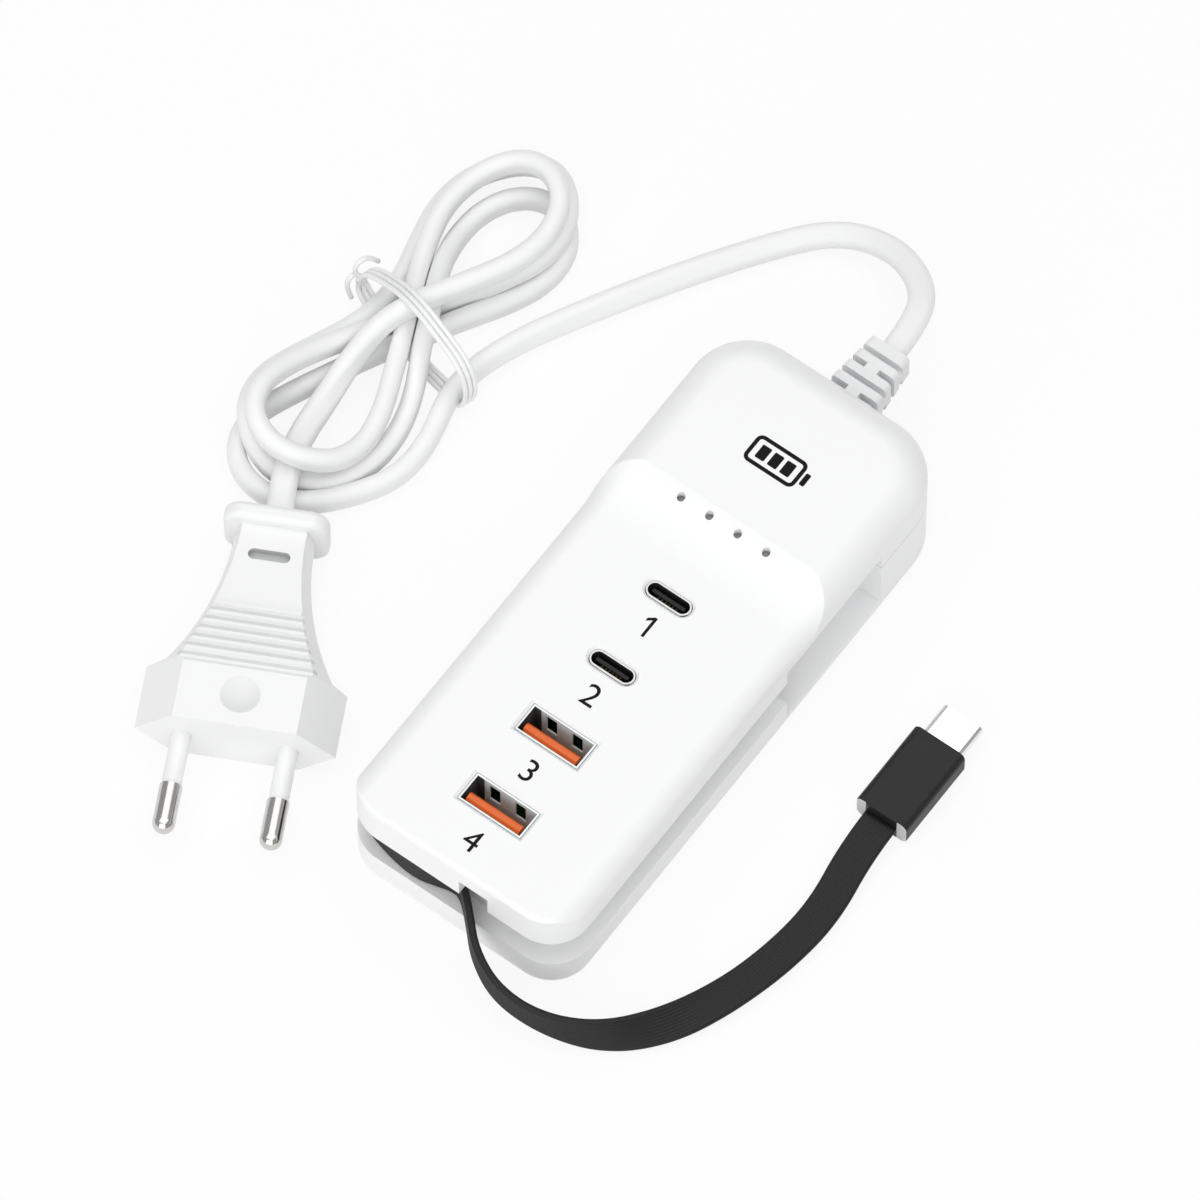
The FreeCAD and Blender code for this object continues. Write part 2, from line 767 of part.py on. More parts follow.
def disc_capacitor():
    x, y = disc_capacitor_at
    bottom = V(x, y, board_bottom - disc_capacitor_thickness)
    disc = rod(disc_capacitor_diameter / 2, bottom, V(x, y, board_bottom))
    return disc.makeFillet(can_bead, edges_where(
        disc, lambda b: b.ZMax < board_bottom - disc_capacitor_thickness + 1e-3))


def heat_sink():
    """Aluminium plate standing on the board."""
    return box(sink_x, sink_x + sink_thickness, sink_y, sink_y + sink_length,
               board_top, board_top + sink_height)


def power_switch():
    """Three-legged transistor whose tab lies flat on the heat sink."""
    thickness, width, height = switch_body
    foot = board_top + switch_lift
    middle = sink_y + sink_length / 2
    body = box(sink_x - thickness, sink_x, middle - width / 2, middle + width / 2, foot, foot + height)
    tab = box(sink_x - switch_tab_thickness, sink_x, middle - width / 2, middle + width / 2,
              foot + height, switch_tab_top)
    legs = []
    for index in (-1, 0, 1):
        y = middle + index * switch_leg_pitch
        x = sink_x - thickness / 2
        legs.append(box(x - switch_leg / 2, x + switch_leg / 2, y - switch_leg / 2, y + switch_leg / 2,
                        board_top, foot))
    return fused([body, tab] + legs)


def relief_section(width, height, y):
    """Rounded upright outline across the strain relief."""
    x = width / 2
    z = height / 2
    corners = [V(-x, y, gland_z - z), V(x, y, gland_z - z), V(x, y, gland_z + z), V(-x, y, gland_z + z)]
    return rounded_polygon([(corner, relief_gap) for corner in corners]).OuterWire


def strain_relief():
    """Moulded boot: inner flange, neck in the wall, and a tapered tail cut by crossed slots."""
    half_width_neck = gland_neck_width / 2
    half_height_neck = gland_neck_height / 2
    flange = box(-half_width_neck - gland_flange_lip, half_width_neck + gland_flange_lip,
                 cavity_head_y - gland_flange_thickness, cavity_head_y,
                 gland_z - half_height_neck - gland_flange_lip, gland_z + half_height_neck + gland_flange_lip)
    neck = box(-half_width_neck, half_width_neck, cavity_head_y, head_y,
               gland_z - half_height_neck, gland_z + half_height_neck)
    tail = Part.makeLoft([
        relief_section(relief_base_width, relief_base_height, head_y),
        relief_section(relief_tip_width, relief_tip_height, head_y + relief_length),
    ], True, True)
    pitch = relief_length / (relief_gap_count + 1)
    for index in range(relief_gap_count):
        y0 = head_y + (index + 1) * pitch - relief_gap / 2
        across = relief_base_width
        for side in (-1, 1):
            if index % 2 == 0:
                near = side * relief_web / 2
                far = side * across
                slot = box(min(near, far), max(near, far), y0, y0 + relief_gap,
                           gland_z - across, gland_z + across)
            else:
                near = gland_z + side * relief_web / 2
                far = gland_z + side * across
                slot = box(-across, across, y0, y0 + relief_gap, min(near, far), max(near, far))
            tail = tail.cut(slot)
    return fused([flange, neck, tail])


arc_share = 0.45


def rounded_route(points):
    """Wire of straight runs and tangent arcs, each arc as large as its two runs allow."""
    edges = []
    radii = []
    start = points[0]
    for before, point, after in zip(points, points[1:], points[2:]):
        into = point - before
        onward = after - point
        turn = into.getAngle(onward)
        reach = arc_share * min(into.Length, onward.Length)
        radius = reach / math.tan(turn / 2)
        arc_start = point - V(into).normalize() * reach
        arc_end = point + V(onward).normalize() * reach
        inward = (V(onward).normalize() - V(into).normalize()).normalize()
        middle = point + inward * (radius / math.cos(turn / 2) - radius)
        edges.append(Part.LineSegment(start, arc_start).toShape())
        edges.append(Part.Arc(arc_start, middle, arc_end).toShape())
        radii.append(round(radius, 1))
        start = arc_end
    edges.append(Part.LineSegment(start, points[-1]).toShape())
    return Part.Wire(edges), radii


def round_tube(name, points, diameter):
    path, radii = rounded_route(points)
    circle = Part.Wire(Part.Circle(points[0], points[1] - points[0], diameter / 2).toShape())
    tube = path.makePipeShell([circle], True, False)
    section = math.pi * diameter ** 2 / 4
    print(name, "radii", radii, "length", round(path.Length, 1),
          "volume ratio", round(tube.Volume / (section * path.Length), 4))
    return tube


def upright_band(name, path, radii):
    """Flat cable standing on its edge along a path."""
    start = path.Vertexes[0].Point
    heading = path.Edges[0].tangentAt(path.Edges[0].FirstParameter)
    aside = heading.cross(UP).normalize() * (cable_thickness / 2)
    lift = V(aside).cross(heading).normalize() * (cable_width / 2)
    corners = [start - aside - lift, start + aside - lift, start + aside + lift, start - aside + lift]
    sweep = Part.BRepOffsetAPI.MakePipeShell(path)
    sweep.setBiNormalMode(UP)
    sweep.add(Part.makePolygon(corners + corners[:1]))
    sweep.build()
    sweep.makeSolid()
    band = Part.Solid(sweep.shape())
    print(name, "radii", radii, "length", round(path.Length, 1),
          "volume ratio", round(band.Volume / (cable_thickness * cable_width * path.Length), 4))
    return band


# Route of the mains lead from the strain relief, in a wide turn and down beside the hank
lead_start = V(0, head_y + relief_length, gland_z)
lead_route = [
    lead_start, V(0, 79.5, gland_z), V(-4.5, 87, 10.2), V(-14, 91.5, 6.2), V(-24.5, 89.5, 3.4),
    V(-32.5, 80.5, 2.5), V(-41.5, 67, 2.4), V(-50.5, 51.5, 2.6), V(-57.6, 37, 3.6), V(-60.8, 25, 3.8),
    V(-57.4, 14.5, 3.0), V(-57.6, 6.5, 2.4), V(-61, -0.2, 2.3), V(-66.5, -4.2, 2.3)]

# Hank: the lead's turns tied in a figure of eight, strands on edge
hank_height = 9.6
hank_band = 8.0
hank_stub = 12.0
crest_height = 14.4
crest_width = 5.6
crest_length = 26.0
crest_flat = 9.0
crest_along = V(-0.44, -0.9, 0)
lower_loop = [(-91, -4, 10), (-63, -10.5, 9), (-64, 16, 14), (-73, 38, 3), (-84, 24, 14)]
upper_loop = [(-73, 26, 3), (-66, 34, 12), (-61.5, 52, 12), (-63, 71, 9), (-84, 71, 9), (-84.5, 48, 14)]
tie_x = -70.2
tie_y = 29.6
tie_centre = V(tie_x, tie_y, 0)
tie_across = V(0.95, -0.31, 0)
tie_reach = 17.2
tie_wire = 1.1
tie_wire_pitch = 1.15
tie_wire_count = 3
tie_top = 15.5
tie_tail_rise = 0.5
tie_tail_lean = 0.4
tie_clearance = 0.15
tie_tail_length = 7.0
tie_tail_wire = 1.0
tie_knot_diameter = 3.2


def loop_ring(corners):
    outline = rounded_polygon([(V(x, y, 0), radius) for x, y, radius in corners])
    hole = outline.makeOffset2D(-hank_band)
    return outline.extrude(V(0, 0, hank_height)).cut(hole.extrude(V(0, 0, hank_height)))


def tie_frame():
    across = V(tie_across).normalize()
    return across, UP.cross(across)


def tie_loop(offset, wire):
    """One turn of the tie: a flat-sided ring round the waist of the hank."""
    across, along = tie_frame()
    bottom = tie_wire / 2
    radius = (tie_top - tie_wire) / 2
    middle = tie_centre + along * offset + UP * (bottom + radius)
    reach = across * (tie_reach - radius)
    rise = UP * radius
    left = middle - reach
    right = middle + reach
    half = wire / 2
    bottom_run = rod(half, left - rise, right - rise)
    top_run = rod(half, left + rise, right + rise)
    right_disc = Part.Face(Part.Wire(Part.Circle(right - rise, across, half).toShape()))
    left_disc = Part.Face(Part.Wire(Part.Circle(left + rise, across, half).toShape()))
    right_end = right_disc.revolve(right, along, -180)
    left_end = left_disc.revolve(left, along, -180)
    return fused([bottom_run, right_end, top_run, left_end])


def tie_offsets():
    return [(index - (tie_wire_count - 1) / 2) * tie_wire_pitch for index in range(tie_wire_count)]


def lead_tie():
    """Three turns of plastic-coated wire, with two twisted tails at the knot."""
    across, along = tie_frame()
    turns = [tie_loop(offset, tie_wire) for offset in tie_offsets()]
    knot = tie_centre - across * tie_reach + UP * (tie_top / 2)
    tails = []
    for side in (-1, 1):
        heading = (along * side + UP * tie_tail_rise - across * tie_tail_lean).normalize()
        tails.append(rod(tie_tail_wire / 2, knot, knot + heading * tie_tail_length))
    return fused(turns + tails + [Part.makeSphere(tie_knot_diameter / 2, knot)])


def tie_bed():
    """Channel round the waist where the tie sinks between the strands."""
    across, along = tie_frame()
    room = tie_wire_count * tie_wire_pitch + 2 * tie_clearance
    depth = tie_wire + tie_clearance
    corner = tie_centre - across * (2 * tie_reach) - along * (room / 2)
    slab = Part.makeBox(4 * tie_reach, room, depth)
    slab.Placement = FreeCAD.Placement(corner, FreeCAD.Rotation(V(1, 0, 0), across))
    top = slab.copy()
    top.translate(UP * (tie_top - depth))
    return [slab, top]


def hank_crest():
    """Ridge at the waist, where the last strand goes over the ones that cross below it."""
    along = V(crest_along).normalize()
    aside = UP.cross(along) * crest_width
    start = tie_centre - aside / 2
    profile = []
    for reach, height in ((-crest_length, 0), (-crest_length, hank_height), (-crest_flat, crest_height),
                          (crest_flat, crest_height), (crest_length, hank_height), (crest_length, 0)):
        profile.append(start + along * (reach / 2) + UP * height)
    return Part.Face(Part.makePolygon(profile + profile[:1])).extrude(aside)


def plug_axes():
    ahead = V(plug_direction).normalize()
    return ahead, UP.cross(ahead)


def lead_hank(lead):
    """Both loops and the strand that goes on to the plug. The lead runs into the lower loop."""
    ahead, _ = plug_axes()
    collar = plug_collar_at + UP * (plug_thickness / 2)
    leaving = rod(lead_diameter / 2, collar, collar - ahead * hank_stub)
    hank = fused([loop_ring(lower_loop), loop_ring(upper_loop), hank_crest(), leaving])
    for cut in tie_bed() + [lead]:
        hank = hank.cut(cut)
    return hank


def lead_cores():
    """The lead's two insulated cores, from the boot's inner flange down to the board."""
    cores = []
    start_y = cavity_head_y - gland_flange_thickness
    for side in (-1, 1):
        x = side * core_spacing / 2
        start = V(x, start_y, gland_z)
        bend = V(x, start_y - core_bend_radius, gland_z - core_bend_radius)
        middle = V(x, start_y - core_bend_radius * math.sin(math.pi / 4),
                   gland_z - core_bend_radius * (1 - math.cos(math.pi / 4)))
        path = Part.Wire([Part.Arc(start, middle, bend).toShape(),
                          Part.LineSegment(bend, V(bend.x, bend.y, board_top)).toShape()])
        circle = Part.Wire(Part.Circle(start, ALONG, core_diameter / 2).toShape())
        cores.append(path.makePipeShell([circle], True, False))
    return Part.Compound(cores)


def place_plug(shape):
    """From the plug's own frame, collar at the origin and pins along +X, to where it lies."""
    ahead, _ = plug_axes()
    turn = FreeCAD.Rotation(V(1, 0, 0), ahead)
    shape.Placement = FreeCAD.Placement(plug_collar_at + UP * (plug_thickness / 2), turn)
    return shape


plug_neck_end = plug_collar_length + plug_neck_length
plug_length = plug_neck_end + plug_face_length


def plug_outline(neck_width, flare_width, block_width, z):
    """Wire round the plug at one height: the straight block, and the neck's two hollow curves."""
    run = plug_flare_length
    rise = (flare_width - neck_width) / 2
    radius = (run ** 2 + rise ** 2) / (2 * rise)
    middle_rise = radius - math.sqrt(radius ** 2 - (run / 2) ** 2)

    def at(x, width, side):
        return V(plug_collar_length + x, side * width / 2, z)

    curves = []
    for side in (1, -1):
        middle = at(run / 2, neck_width + 2 * middle_rise, side)
        curves.append(Part.Arc(at(0, neck_width, side), middle, at(run, flare_width, side)).toShape())
    corners = [at(run, flare_width, 1), at(plug_neck_length, block_width, 1),
               at(plug_neck_length + plug_face_length, block_width, 1),
               at(plug_neck_length + plug_face_length, block_width, -1),
               at(plug_neck_length, block_width, -1), at(run, flare_width, -1)]
    block = [Part.LineSegment(start, end).toShape() for start, end in zip(corners, corners[1:])]
    back = Part.LineSegment(at(0, neck_width, -1), at(0, neck_width, 1)).toShape()
    return Part.Wire([curves[0]] + block + [curves[1], back])


def neck_half_height(x):
    share = (x - plug_collar_length) / plug_neck_length
    return (plug_neck_height + (plug_flare_height - plug_neck_height) * share) / 2


def plug_side_profile():
    """Slab with the neck's slope, its grip ribs and the step up to the block, on both faces."""
    upper = [(0, neck_half_height(0))]
    first_rib = plug_neck_end - plug_rib_margin - plug_rib_count * plug_rib_pitch
    for index in range(plug_rib_count):
        start = first_rib + index * plug_rib_pitch
        end = start + plug_rib_width
        upper += [(start, neck_half_height(start)),
                  (start + plug_rib_bevel, neck_half_height(start) + plug_rib_height),
                  (end - plug_rib_bevel, neck_half_height(end) + plug_rib_height),
                  (end, neck_half_height(end))]
    foot = neck_half_height(plug_neck_end)
    past_top = plug_thickness - foot
    upper += [(plug_neck_end, foot), (plug_neck_end + 2 * plug_step_run, past_top),
              (plug_length + wall, past_top)]
    points = [V(x, -plug_width, z) for x, z in upper] + [V(x, -plug_width, -z) for x, z in reversed(upper)]
    return Part.Face(Part.makePolygon(points + points[:1])).extrude(V(0, 2 * plug_width, 0))


def plug_collar():
    """Rounded finger stop at the lead."""
    y = plug_collar_width / 2
    z = plug_collar_height / 2
    corners = [(V(0, -y, -z), plug_collar_radius), (V(0, y, -z), plug_collar_radius),
               (V(0, y, z), plug_collar_radius), (V(0, -y, z), plug_collar_radius)]
    collar = rounded_polygon(corners).extrude(V(plug_collar_length, 0, 0))
    return collar.makeFillet(plug_edge_fillet, edges_where(collar, lambda b: b.XLength < 1e-3))


def plug_body():
    """Flat six-sided block, a ribbed neck that curves in behind it, and the collar."""
    widest = plug_outline(plug_neck_width, plug_flare_width, plug_width, 0)
    top = plug_outline(plug_neck_top_width, plug_top_width, plug_top_width, plug_thickness / 2)
    upper_half = Part.makeLoft([widest, top], True, True)
    lower_half = upper_half.mirror(V(0, 0, 0), UP)
    body = fused([upper_half, lower_half]).common(plug_side_profile())
    body = fused([body, plug_collar()])
    slot_x = plug_collar_length + grip_slot_offset
    slot = slot_face(grip_slot_length, grip_slot_width, V(0, 0, 0)).extrude(UP * plug_thickness)
    slot.rotate(V(0, 0, 0), UP, 90)
    slot.translate(V(slot_x, 0, neck_half_height(slot_x) - grip_slot_depth))
    dimple_radius = (dimple_diameter ** 2 / 4 + dimple_depth ** 2) / (2 * dimple_depth)
    dimple_x = plug_neck_end + plug_face_length / 2
    dimple = Part.makeSphere(dimple_radius, V(dimple_x, 0, plug_thickness / 2 - dimple_depth + dimple_radius))
    for cut in (slot, dimple):
        body = body.cut(cut).cut(cut.mirror(V(0, 0, 0), UP))
    for side in (-1, 1):
        y = side * pin_spacing / 2
        root = V(plug_length - pin_root_length, y, 0)
        body = body.cut(rod(pin_root_diameter / 2, root, V(plug_length, y, 0)))
    return place_plug(body)


def plug_pins():
    """Turned brass pins, plated, rounded at the tip and necked where the sleeves sit."""
    pins = []
    for side in (-1, 1):
        y = side * pin_spacing / 2
        root = V(plug_length - pin_root_length, y, 0)
        face = V(plug_length, y, 0)
        sleeve_end = V(plug_length + pin_sleeve_length, y, 0)
        tip = V(plug_length + pin_length, y, 0)
        blade = rod(pin_diameter / 2, sleeve_end, tip)
        rim = edges_where(blade, lambda b: b.XMin > tip.x - 1e-3)
        blade = blade.makeFillet(pin_diameter / 2 - pin_tip_flat, rim)
        neck = rod(pin_neck_diameter / 2, face, sleeve_end)
        pins.append(fused([rod(pin_root_diameter / 2, root, face), neck, blade]))
    return place_plug(Part.Compound(pins))


def pin_sleeves():
    sleeves = []
    for side in (-1, 1):
        y = side * pin_spacing / 2
        start = V(plug_length, y, 0)
        end = V(plug_length + pin_sleeve_length, y, 0)
        sleeve = rod(pin_sleeve_diameter / 2, start, end)
        sleeves.append(sleeve.cut(rod(pin_neck_diameter / 2, start, end)))
    return place_plug(Part.Compound(sleeves))


# Flat cable: held on edge in the groove, then free to its plug
cable_gap = 0.1
cable_neck_offset = groove_depth - cable_gap - cable_thickness / 2
cable_side_x = -half_width + cable_neck_offset
cable_front_y = front_y + cable_neck_offset
cable_z = lower_lip_height + groove_height / 2
cable_bend = tail_corner_radius - cable_neck_offset
cable_leaves_x = -3.5
cable_straight = 6.9
cable_rest_z = cable_width / 2
cable_route = [
    V(cable_leaves_x, cable_front_y, cable_z), V(0.5, cable_front_y, cable_z), V(4.5, -58.0, 10.9),
    V(9.5, -62.6, 9.0), V(16.4, -65.2, 6.0), V(25.4, -64.2, 3.9), V(34.6, -60.0, 3.35), V(41.6, -51.8, 3.3),
    V(46.2, -41.4, 3.3), V(49.2, -29.8, 3.3), V(50.4, -18.0, 3.3),
    V(usb_plug_x, usb_plug_y - cable_straight, cable_rest_z), V(usb_plug_x, usb_plug_y, cable_rest_z)]


def cable_in_groove():
    start = V(cable_side_x, pocket_y, cable_z)
    corner = V(cable_side_x, cable_front_y, cable_z)
    end = V(cable_leaves_x, cable_front_y, cable_z)
    side_end = corner + V(0, cable_bend, 0)
    front_start = corner + V(cable_bend, 0, 0)
    middle = corner + V(1, 1, 0) * (cable_bend * (1 - math.sqrt(0.5)))
    path = Part.Wire([Part.LineSegment(start, side_end).toShape(),
                      Part.Arc(side_end, middle, front_start).toShape(),
                      Part.LineSegment(front_start, end).toShape()])
    return upright_band("cable_in_groove", path, [cable_bend])


def cable_free():
    path, radii = rounded_route(cable_route)
    return upright_band("cable_free", path, radii)


def usb_plug_frame(shape):
    """From the small plug's own frame, rear face at the origin and mouth along +Y."""
    shape.Placement = FreeCAD.Placement(usb_plug_at + UP * (usb_plug_thickness / 2), FreeCAD.Rotation())
    return shape


def usb_plug_slot(width, thickness, y0, y1):
    """Obround prism lying along Y."""
    prism = slot_face(width, thickness, V(0, 0, 0)).extrude(V(0, 0, y1 - y0))
    prism.rotate(V(0, 0, 0), V(1, 0, 0), -90)
    prism.translate(V(0, y0, 0))
    return prism


def usb_plug_overmould():
    half = usb_plug_width / 2
    block = box(-half, half, 0, usb_plug_length, -usb_plug_thickness / 2, usb_plug_thickness / 2)
    long_edges = edges_where(block, lambda b: b.YLength > usb_plug_length - 1e-3)
    block = block.makeFillet(usb_plug_fillet, long_edges)
    block = block.makeFillet(usb_plug_fillet / 4, edges_where(block, lambda b: b.YLength < 1e-3))
    root = usb_plug_slot(usb_plug_shell_width, usb_plug_shell_thickness,
                         usb_plug_length - usb_plug_root_length, usb_plug_length)
    return usb_plug_frame(block.cut(root))


def usb_plug_shell():
    start = usb_plug_length - usb_plug_root_length
    end = usb_plug_length + usb_plug_shell_length
    bore = 2 * usb_plug_shell_wall
    outer = usb_plug_slot(usb_plug_shell_width, usb_plug_shell_thickness, start, end)
    return usb_plug_frame(outer.cut(usb_plug_slot(
        usb_plug_shell_width - bore, usb_plug_shell_thickness - bore, start, end)))


def usb_plug_insert():
    """Black insulator inside the shell, open along the middle for a socket's tongue."""
    start = usb_plug_length - usb_plug_root_length
    end = usb_plug_length + usb_plug_shell_length - usb_plug_insert_recess
    bore = 2 * usb_plug_shell_wall
    body = usb_plug_slot(usb_plug_shell_width - bore, usb_plug_shell_thickness - bore, start, end)
    half = usb_c_tongue_width / 2 + socket_clearance
    slot = box(-half, half, usb_plug_length, end, -usb_plug_slot_thickness / 2, usb_plug_slot_thickness / 2)
    return usb_plug_frame(body.cut(slot))


os.makedirs("parts", exist_ok=True)
mains_lead = round_tube("mains_lead", lead_route, lead_diameter)
storage_cans = [(x, storage_can_y) for x in storage_can_xs]
filter_cans = [(side * filter_can_x, filter_can_y) for side in (-1, 1)]
nodes = {
    "lower_housing": lower_housing(),
    "upper_housing": upper_housing(),
    "main_board": main_board(),
    "board_screws": board_screws(),
    "light_guide": light_guide(),
    "indicator_leds": indicator_leds(),
    "transformer_core": transformer_core(),
    "coil_former": coil_former(),
    "coil_winding": coil_winding(),
    "storage_capacitors": capacitor_pair(storage_cans, storage_can_diameter, storage_can_height),
    "filter_capacitors": capacitor_pair(filter_cans, filter_can_diameter, filter_can_height),
    "film_capacitor": film_capacitor_body(),
    "choke_core": choke_core(),
    "choke_winding": choke_winding(),
    "mains_fuse": mains_fuse(),
    "bridge_rectifier": under_board(bridge_size, bridge_at),
    "disc_capacitor": disc_capacitor(),
    "controller_chips": Part.Compound([under_board(chip_size, place) for place in chip_places]),
    "heat_sink": heat_sink(),
    "power_switch": power_switch(),
    "strain_relief": strain_relief(),
    "lead_cores": lead_cores(),
    "mains_lead": mains_lead,
    "mains_lead_hank": lead_hank(mains_lead),
    "lead_tie": lead_tie(),
    "plug_body": plug_body(),
    "plug_pins": plug_pins(),
    "pin_sleeves": pin_sleeves(),
    "cable_in_groove": cable_in_groove(),
    "cable_free": cable_free(),
    "usb_plug_overmould": usb_plug_overmould(),
    "usb_plug_shell": usb_plug_shell(),
    "usb_plug_insert": usb_plug_insert(),
}
for place, y in zip(("front", "rear"), usb_a_ys):
    nodes["usb_a_shell_" + place] = usb_a_shell(y)
    nodes["usb_a_tongue_" + place] = usb_a_tongue(y)
    nodes["usb_a_contacts_" + place] = usb_a_contacts(y)
for place, y in zip(("front", "rear"), usb_c_ys):
    nodes["usb_c_shell_" + place] = usb_c_shell(y)
    nodes["usb_c_tongue_" + place] = usb_c_tongue(y)
    nodes["usb_c_contacts_" + place] = usb_c_contacts(y)
for name, shape in nodes.items():
    shape.exportStep("parts/" + name + ".step")
    print(name, len(shape.Solids), shape.isValid(), round(shape.Volume, 1))
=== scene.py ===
import math

import bmesh
import bpy
from mathutils import Matrix, Vector


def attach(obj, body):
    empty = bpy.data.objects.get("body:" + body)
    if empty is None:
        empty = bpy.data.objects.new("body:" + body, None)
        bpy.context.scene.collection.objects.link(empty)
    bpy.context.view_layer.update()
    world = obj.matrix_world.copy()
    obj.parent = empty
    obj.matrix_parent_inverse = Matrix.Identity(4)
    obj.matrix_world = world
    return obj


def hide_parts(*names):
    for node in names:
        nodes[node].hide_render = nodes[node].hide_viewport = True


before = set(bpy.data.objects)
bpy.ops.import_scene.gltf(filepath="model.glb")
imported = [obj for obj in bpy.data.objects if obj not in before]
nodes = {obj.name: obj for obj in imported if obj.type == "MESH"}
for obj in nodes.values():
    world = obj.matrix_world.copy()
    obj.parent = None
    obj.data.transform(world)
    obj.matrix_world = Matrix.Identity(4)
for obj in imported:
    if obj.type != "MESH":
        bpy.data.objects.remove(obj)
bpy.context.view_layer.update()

# Two-part housing of glossy white moulded plastic: a tub with the winding groove and pocket,
# and a cap with the raised head. The cap snaps over the tub's lip, so one fine seam runs round.

MM = 0.001


class Shade:
    """A socket of a material's nodes. Arithmetic on it adds Math nodes, and add() any other node."""

    def __init__(self, tree, socket=None):
        self.tree = tree
        self.socket = socket

    def add(self, kind, links, out=0, **settings):
        """New node: its settings first, then a value or a link for each socket that is named."""
        made = self.tree.nodes.new(kind)
        for setting, value in settings.items():
            setattr(made, setting, value)
        for name, value in links.items():
            socket = made.inputs[name]
            if isinstance(value, Shade):
                value.feed(socket)
            elif socket.type == "RGBA":
                socket.default_value = (*value, 1.0)
            else:
                socket.default_value = value
        return Shade(self.tree, made.outputs[out])

    def feed(self, socket):
        """Links this socket to an input, in place of what fed it before."""
        self.tree.links.new(self.socket, socket)

    def math(self, operation, second=0.0):
        return self.add("ShaderNodeMath", {0: self, 1: second}, operation=operation)

    def __add__(self, other):
        return self.math("ADD", other)

    def __radd__(self, other):
        return self.math("ADD", other)

    def __sub__(self, other):
        return self.math("SUBTRACT", other)

    def __rsub__(self, other):
        return self.add("ShaderNodeMath", {0: other, 1: self}, operation="SUBTRACT")

    def __mul__(self, other):
        return self.math("MULTIPLY", other)

    def __rmul__(self, other):
        return self.math("MULTIPLY", other)

    def __abs__(self):
        return self.math("ABSOLUTE")

    def below(self, limit):
        """1 where this socket is under the limit, and 0 elsewhere."""
        return self.math("LESS_THAN", limit)

    def above(self, limit):
        """1 where this socket is over the limit, and 0 elsewhere."""
        return self.math("GREATER_THAN", limit)

    def between(self, low, high):
        """Straight change from 0 at low to 1 at high."""
        return self.add("ShaderNodeMapRange", {"Value": self, "From Min": low, "From Max": high})

    def mixed(self, first, second):
        """Colour between two colours, with this socket as the factor."""
        return self.add("ShaderNodeMix", {0: self, 6: first, 7: second}, out=2, data_type="RGBA")


def along(material, axis):
    """The piece's own X, Y or Z in metres."""
    place = Shade(material.node_tree).add("ShaderNodeTexCoord", {}, out="Object")
    return place.add("ShaderNodeSeparateXYZ", {"Vector": place}, out="XYZ".index(axis))


def speckle(material, size):
    """Noise in the piece's own space, with grains of about the size given in metres."""
    place = Shade(material.node_tree).add("ShaderNodeTexCoord", {}, out="Object")
    return place.add("ShaderNodeTexNoise", {"Vector": place, "Scale": 1.0 / size})


def shader_of(material):
    """Sockets of a material's shader."""
    return material.node_tree.nodes["Principled BSDF"].inputs


def finish_of(name, colour, second, grain, dull, gloss_spread=0.1, **fixed):
    """New material: colour wanders between two tones in grains of one size, gloss about a middle value."""
    material = bpy.data.materials.new(name)
    material.use_nodes = True
    sockets = shader_of(material)
    for socket, value in fixed.items():
        sockets[socket.replace("_", " ")].default_value = value
    speckle(material, grain).mixed(colour, second).feed(sockets["Base Color"])
    gloss_grain = 6 * MM
    gloss = dull + gloss_spread * (speckle(material, gloss_grain) - 0.5)
    gloss.feed(sockets["Roughness"])
    return material


def tinted(material, mask, colour):
    """Lays a colour over a finish where the mask is 1."""
    base = shader_of(material)["Base Color"]
    under = Shade(material.node_tree, base.links[0].from_socket)
    mask.mixed(under, colour).feed(base)


def dress(material, *names):
    """Gives CAD nodes a finish."""
    for name in names:
        mesh = nodes[name].data
        mesh.materials.clear()
        mesh.materials.append(material)


seam_z = 14.8 * MM
seam_half = 0.09 * MM
housing_white = finish_of(
    "housing_white", (0.90, 0.903, 0.906), (0.892, 0.896, 0.90), grain=30 * MM, dull=0.3, gloss_spread=0.02)
tinted(housing_white, abs(along(housing_white, "Z") - seam_z).below(seam_half), (0.42, 0.43, 0.44))
dress(housing_white, "upper_housing", "lower_housing")

# Four sockets that stand on the board and look out of the cap: folded steel shells with painted shade
# on their inner walls, orange tongues in the two wide ones, black ones in the narrow two, plated contact
# strips.

port_pitch = 16.3 * MM
wide_middle_y = -34.7 * MM
wide_half_depth = 2.7 * MM
wide_half_width = 6.4 * MM
wide_lip_z = 22.95 * MM
painted_shade_from_z = 18.0 * MM
painted_shade_full_z = 20.5 * MM
end_wall_x = -4.9 * MM
narrow_middle_y = -2.1 * MM
narrow_half_depth = 1.45 * MM
narrow_half_width = 4.35 * MM
narrow_lip_z = 23.1 * MM
tongue_base_z = 12.4 * MM


def inner_faces(material, middle_y, half_depth, half_width, lip_z):
    """1 on the inner faces of two like sockets, which stand a pitch apart about a middle Y."""
    aside = abs(abs(along(material, "Y") - middle_y) - port_pitch / 2)
    across = abs(along(material, "X"))
    return aside.below(half_depth) * across.below(half_width) * along(material, "Z").below(lip_z)


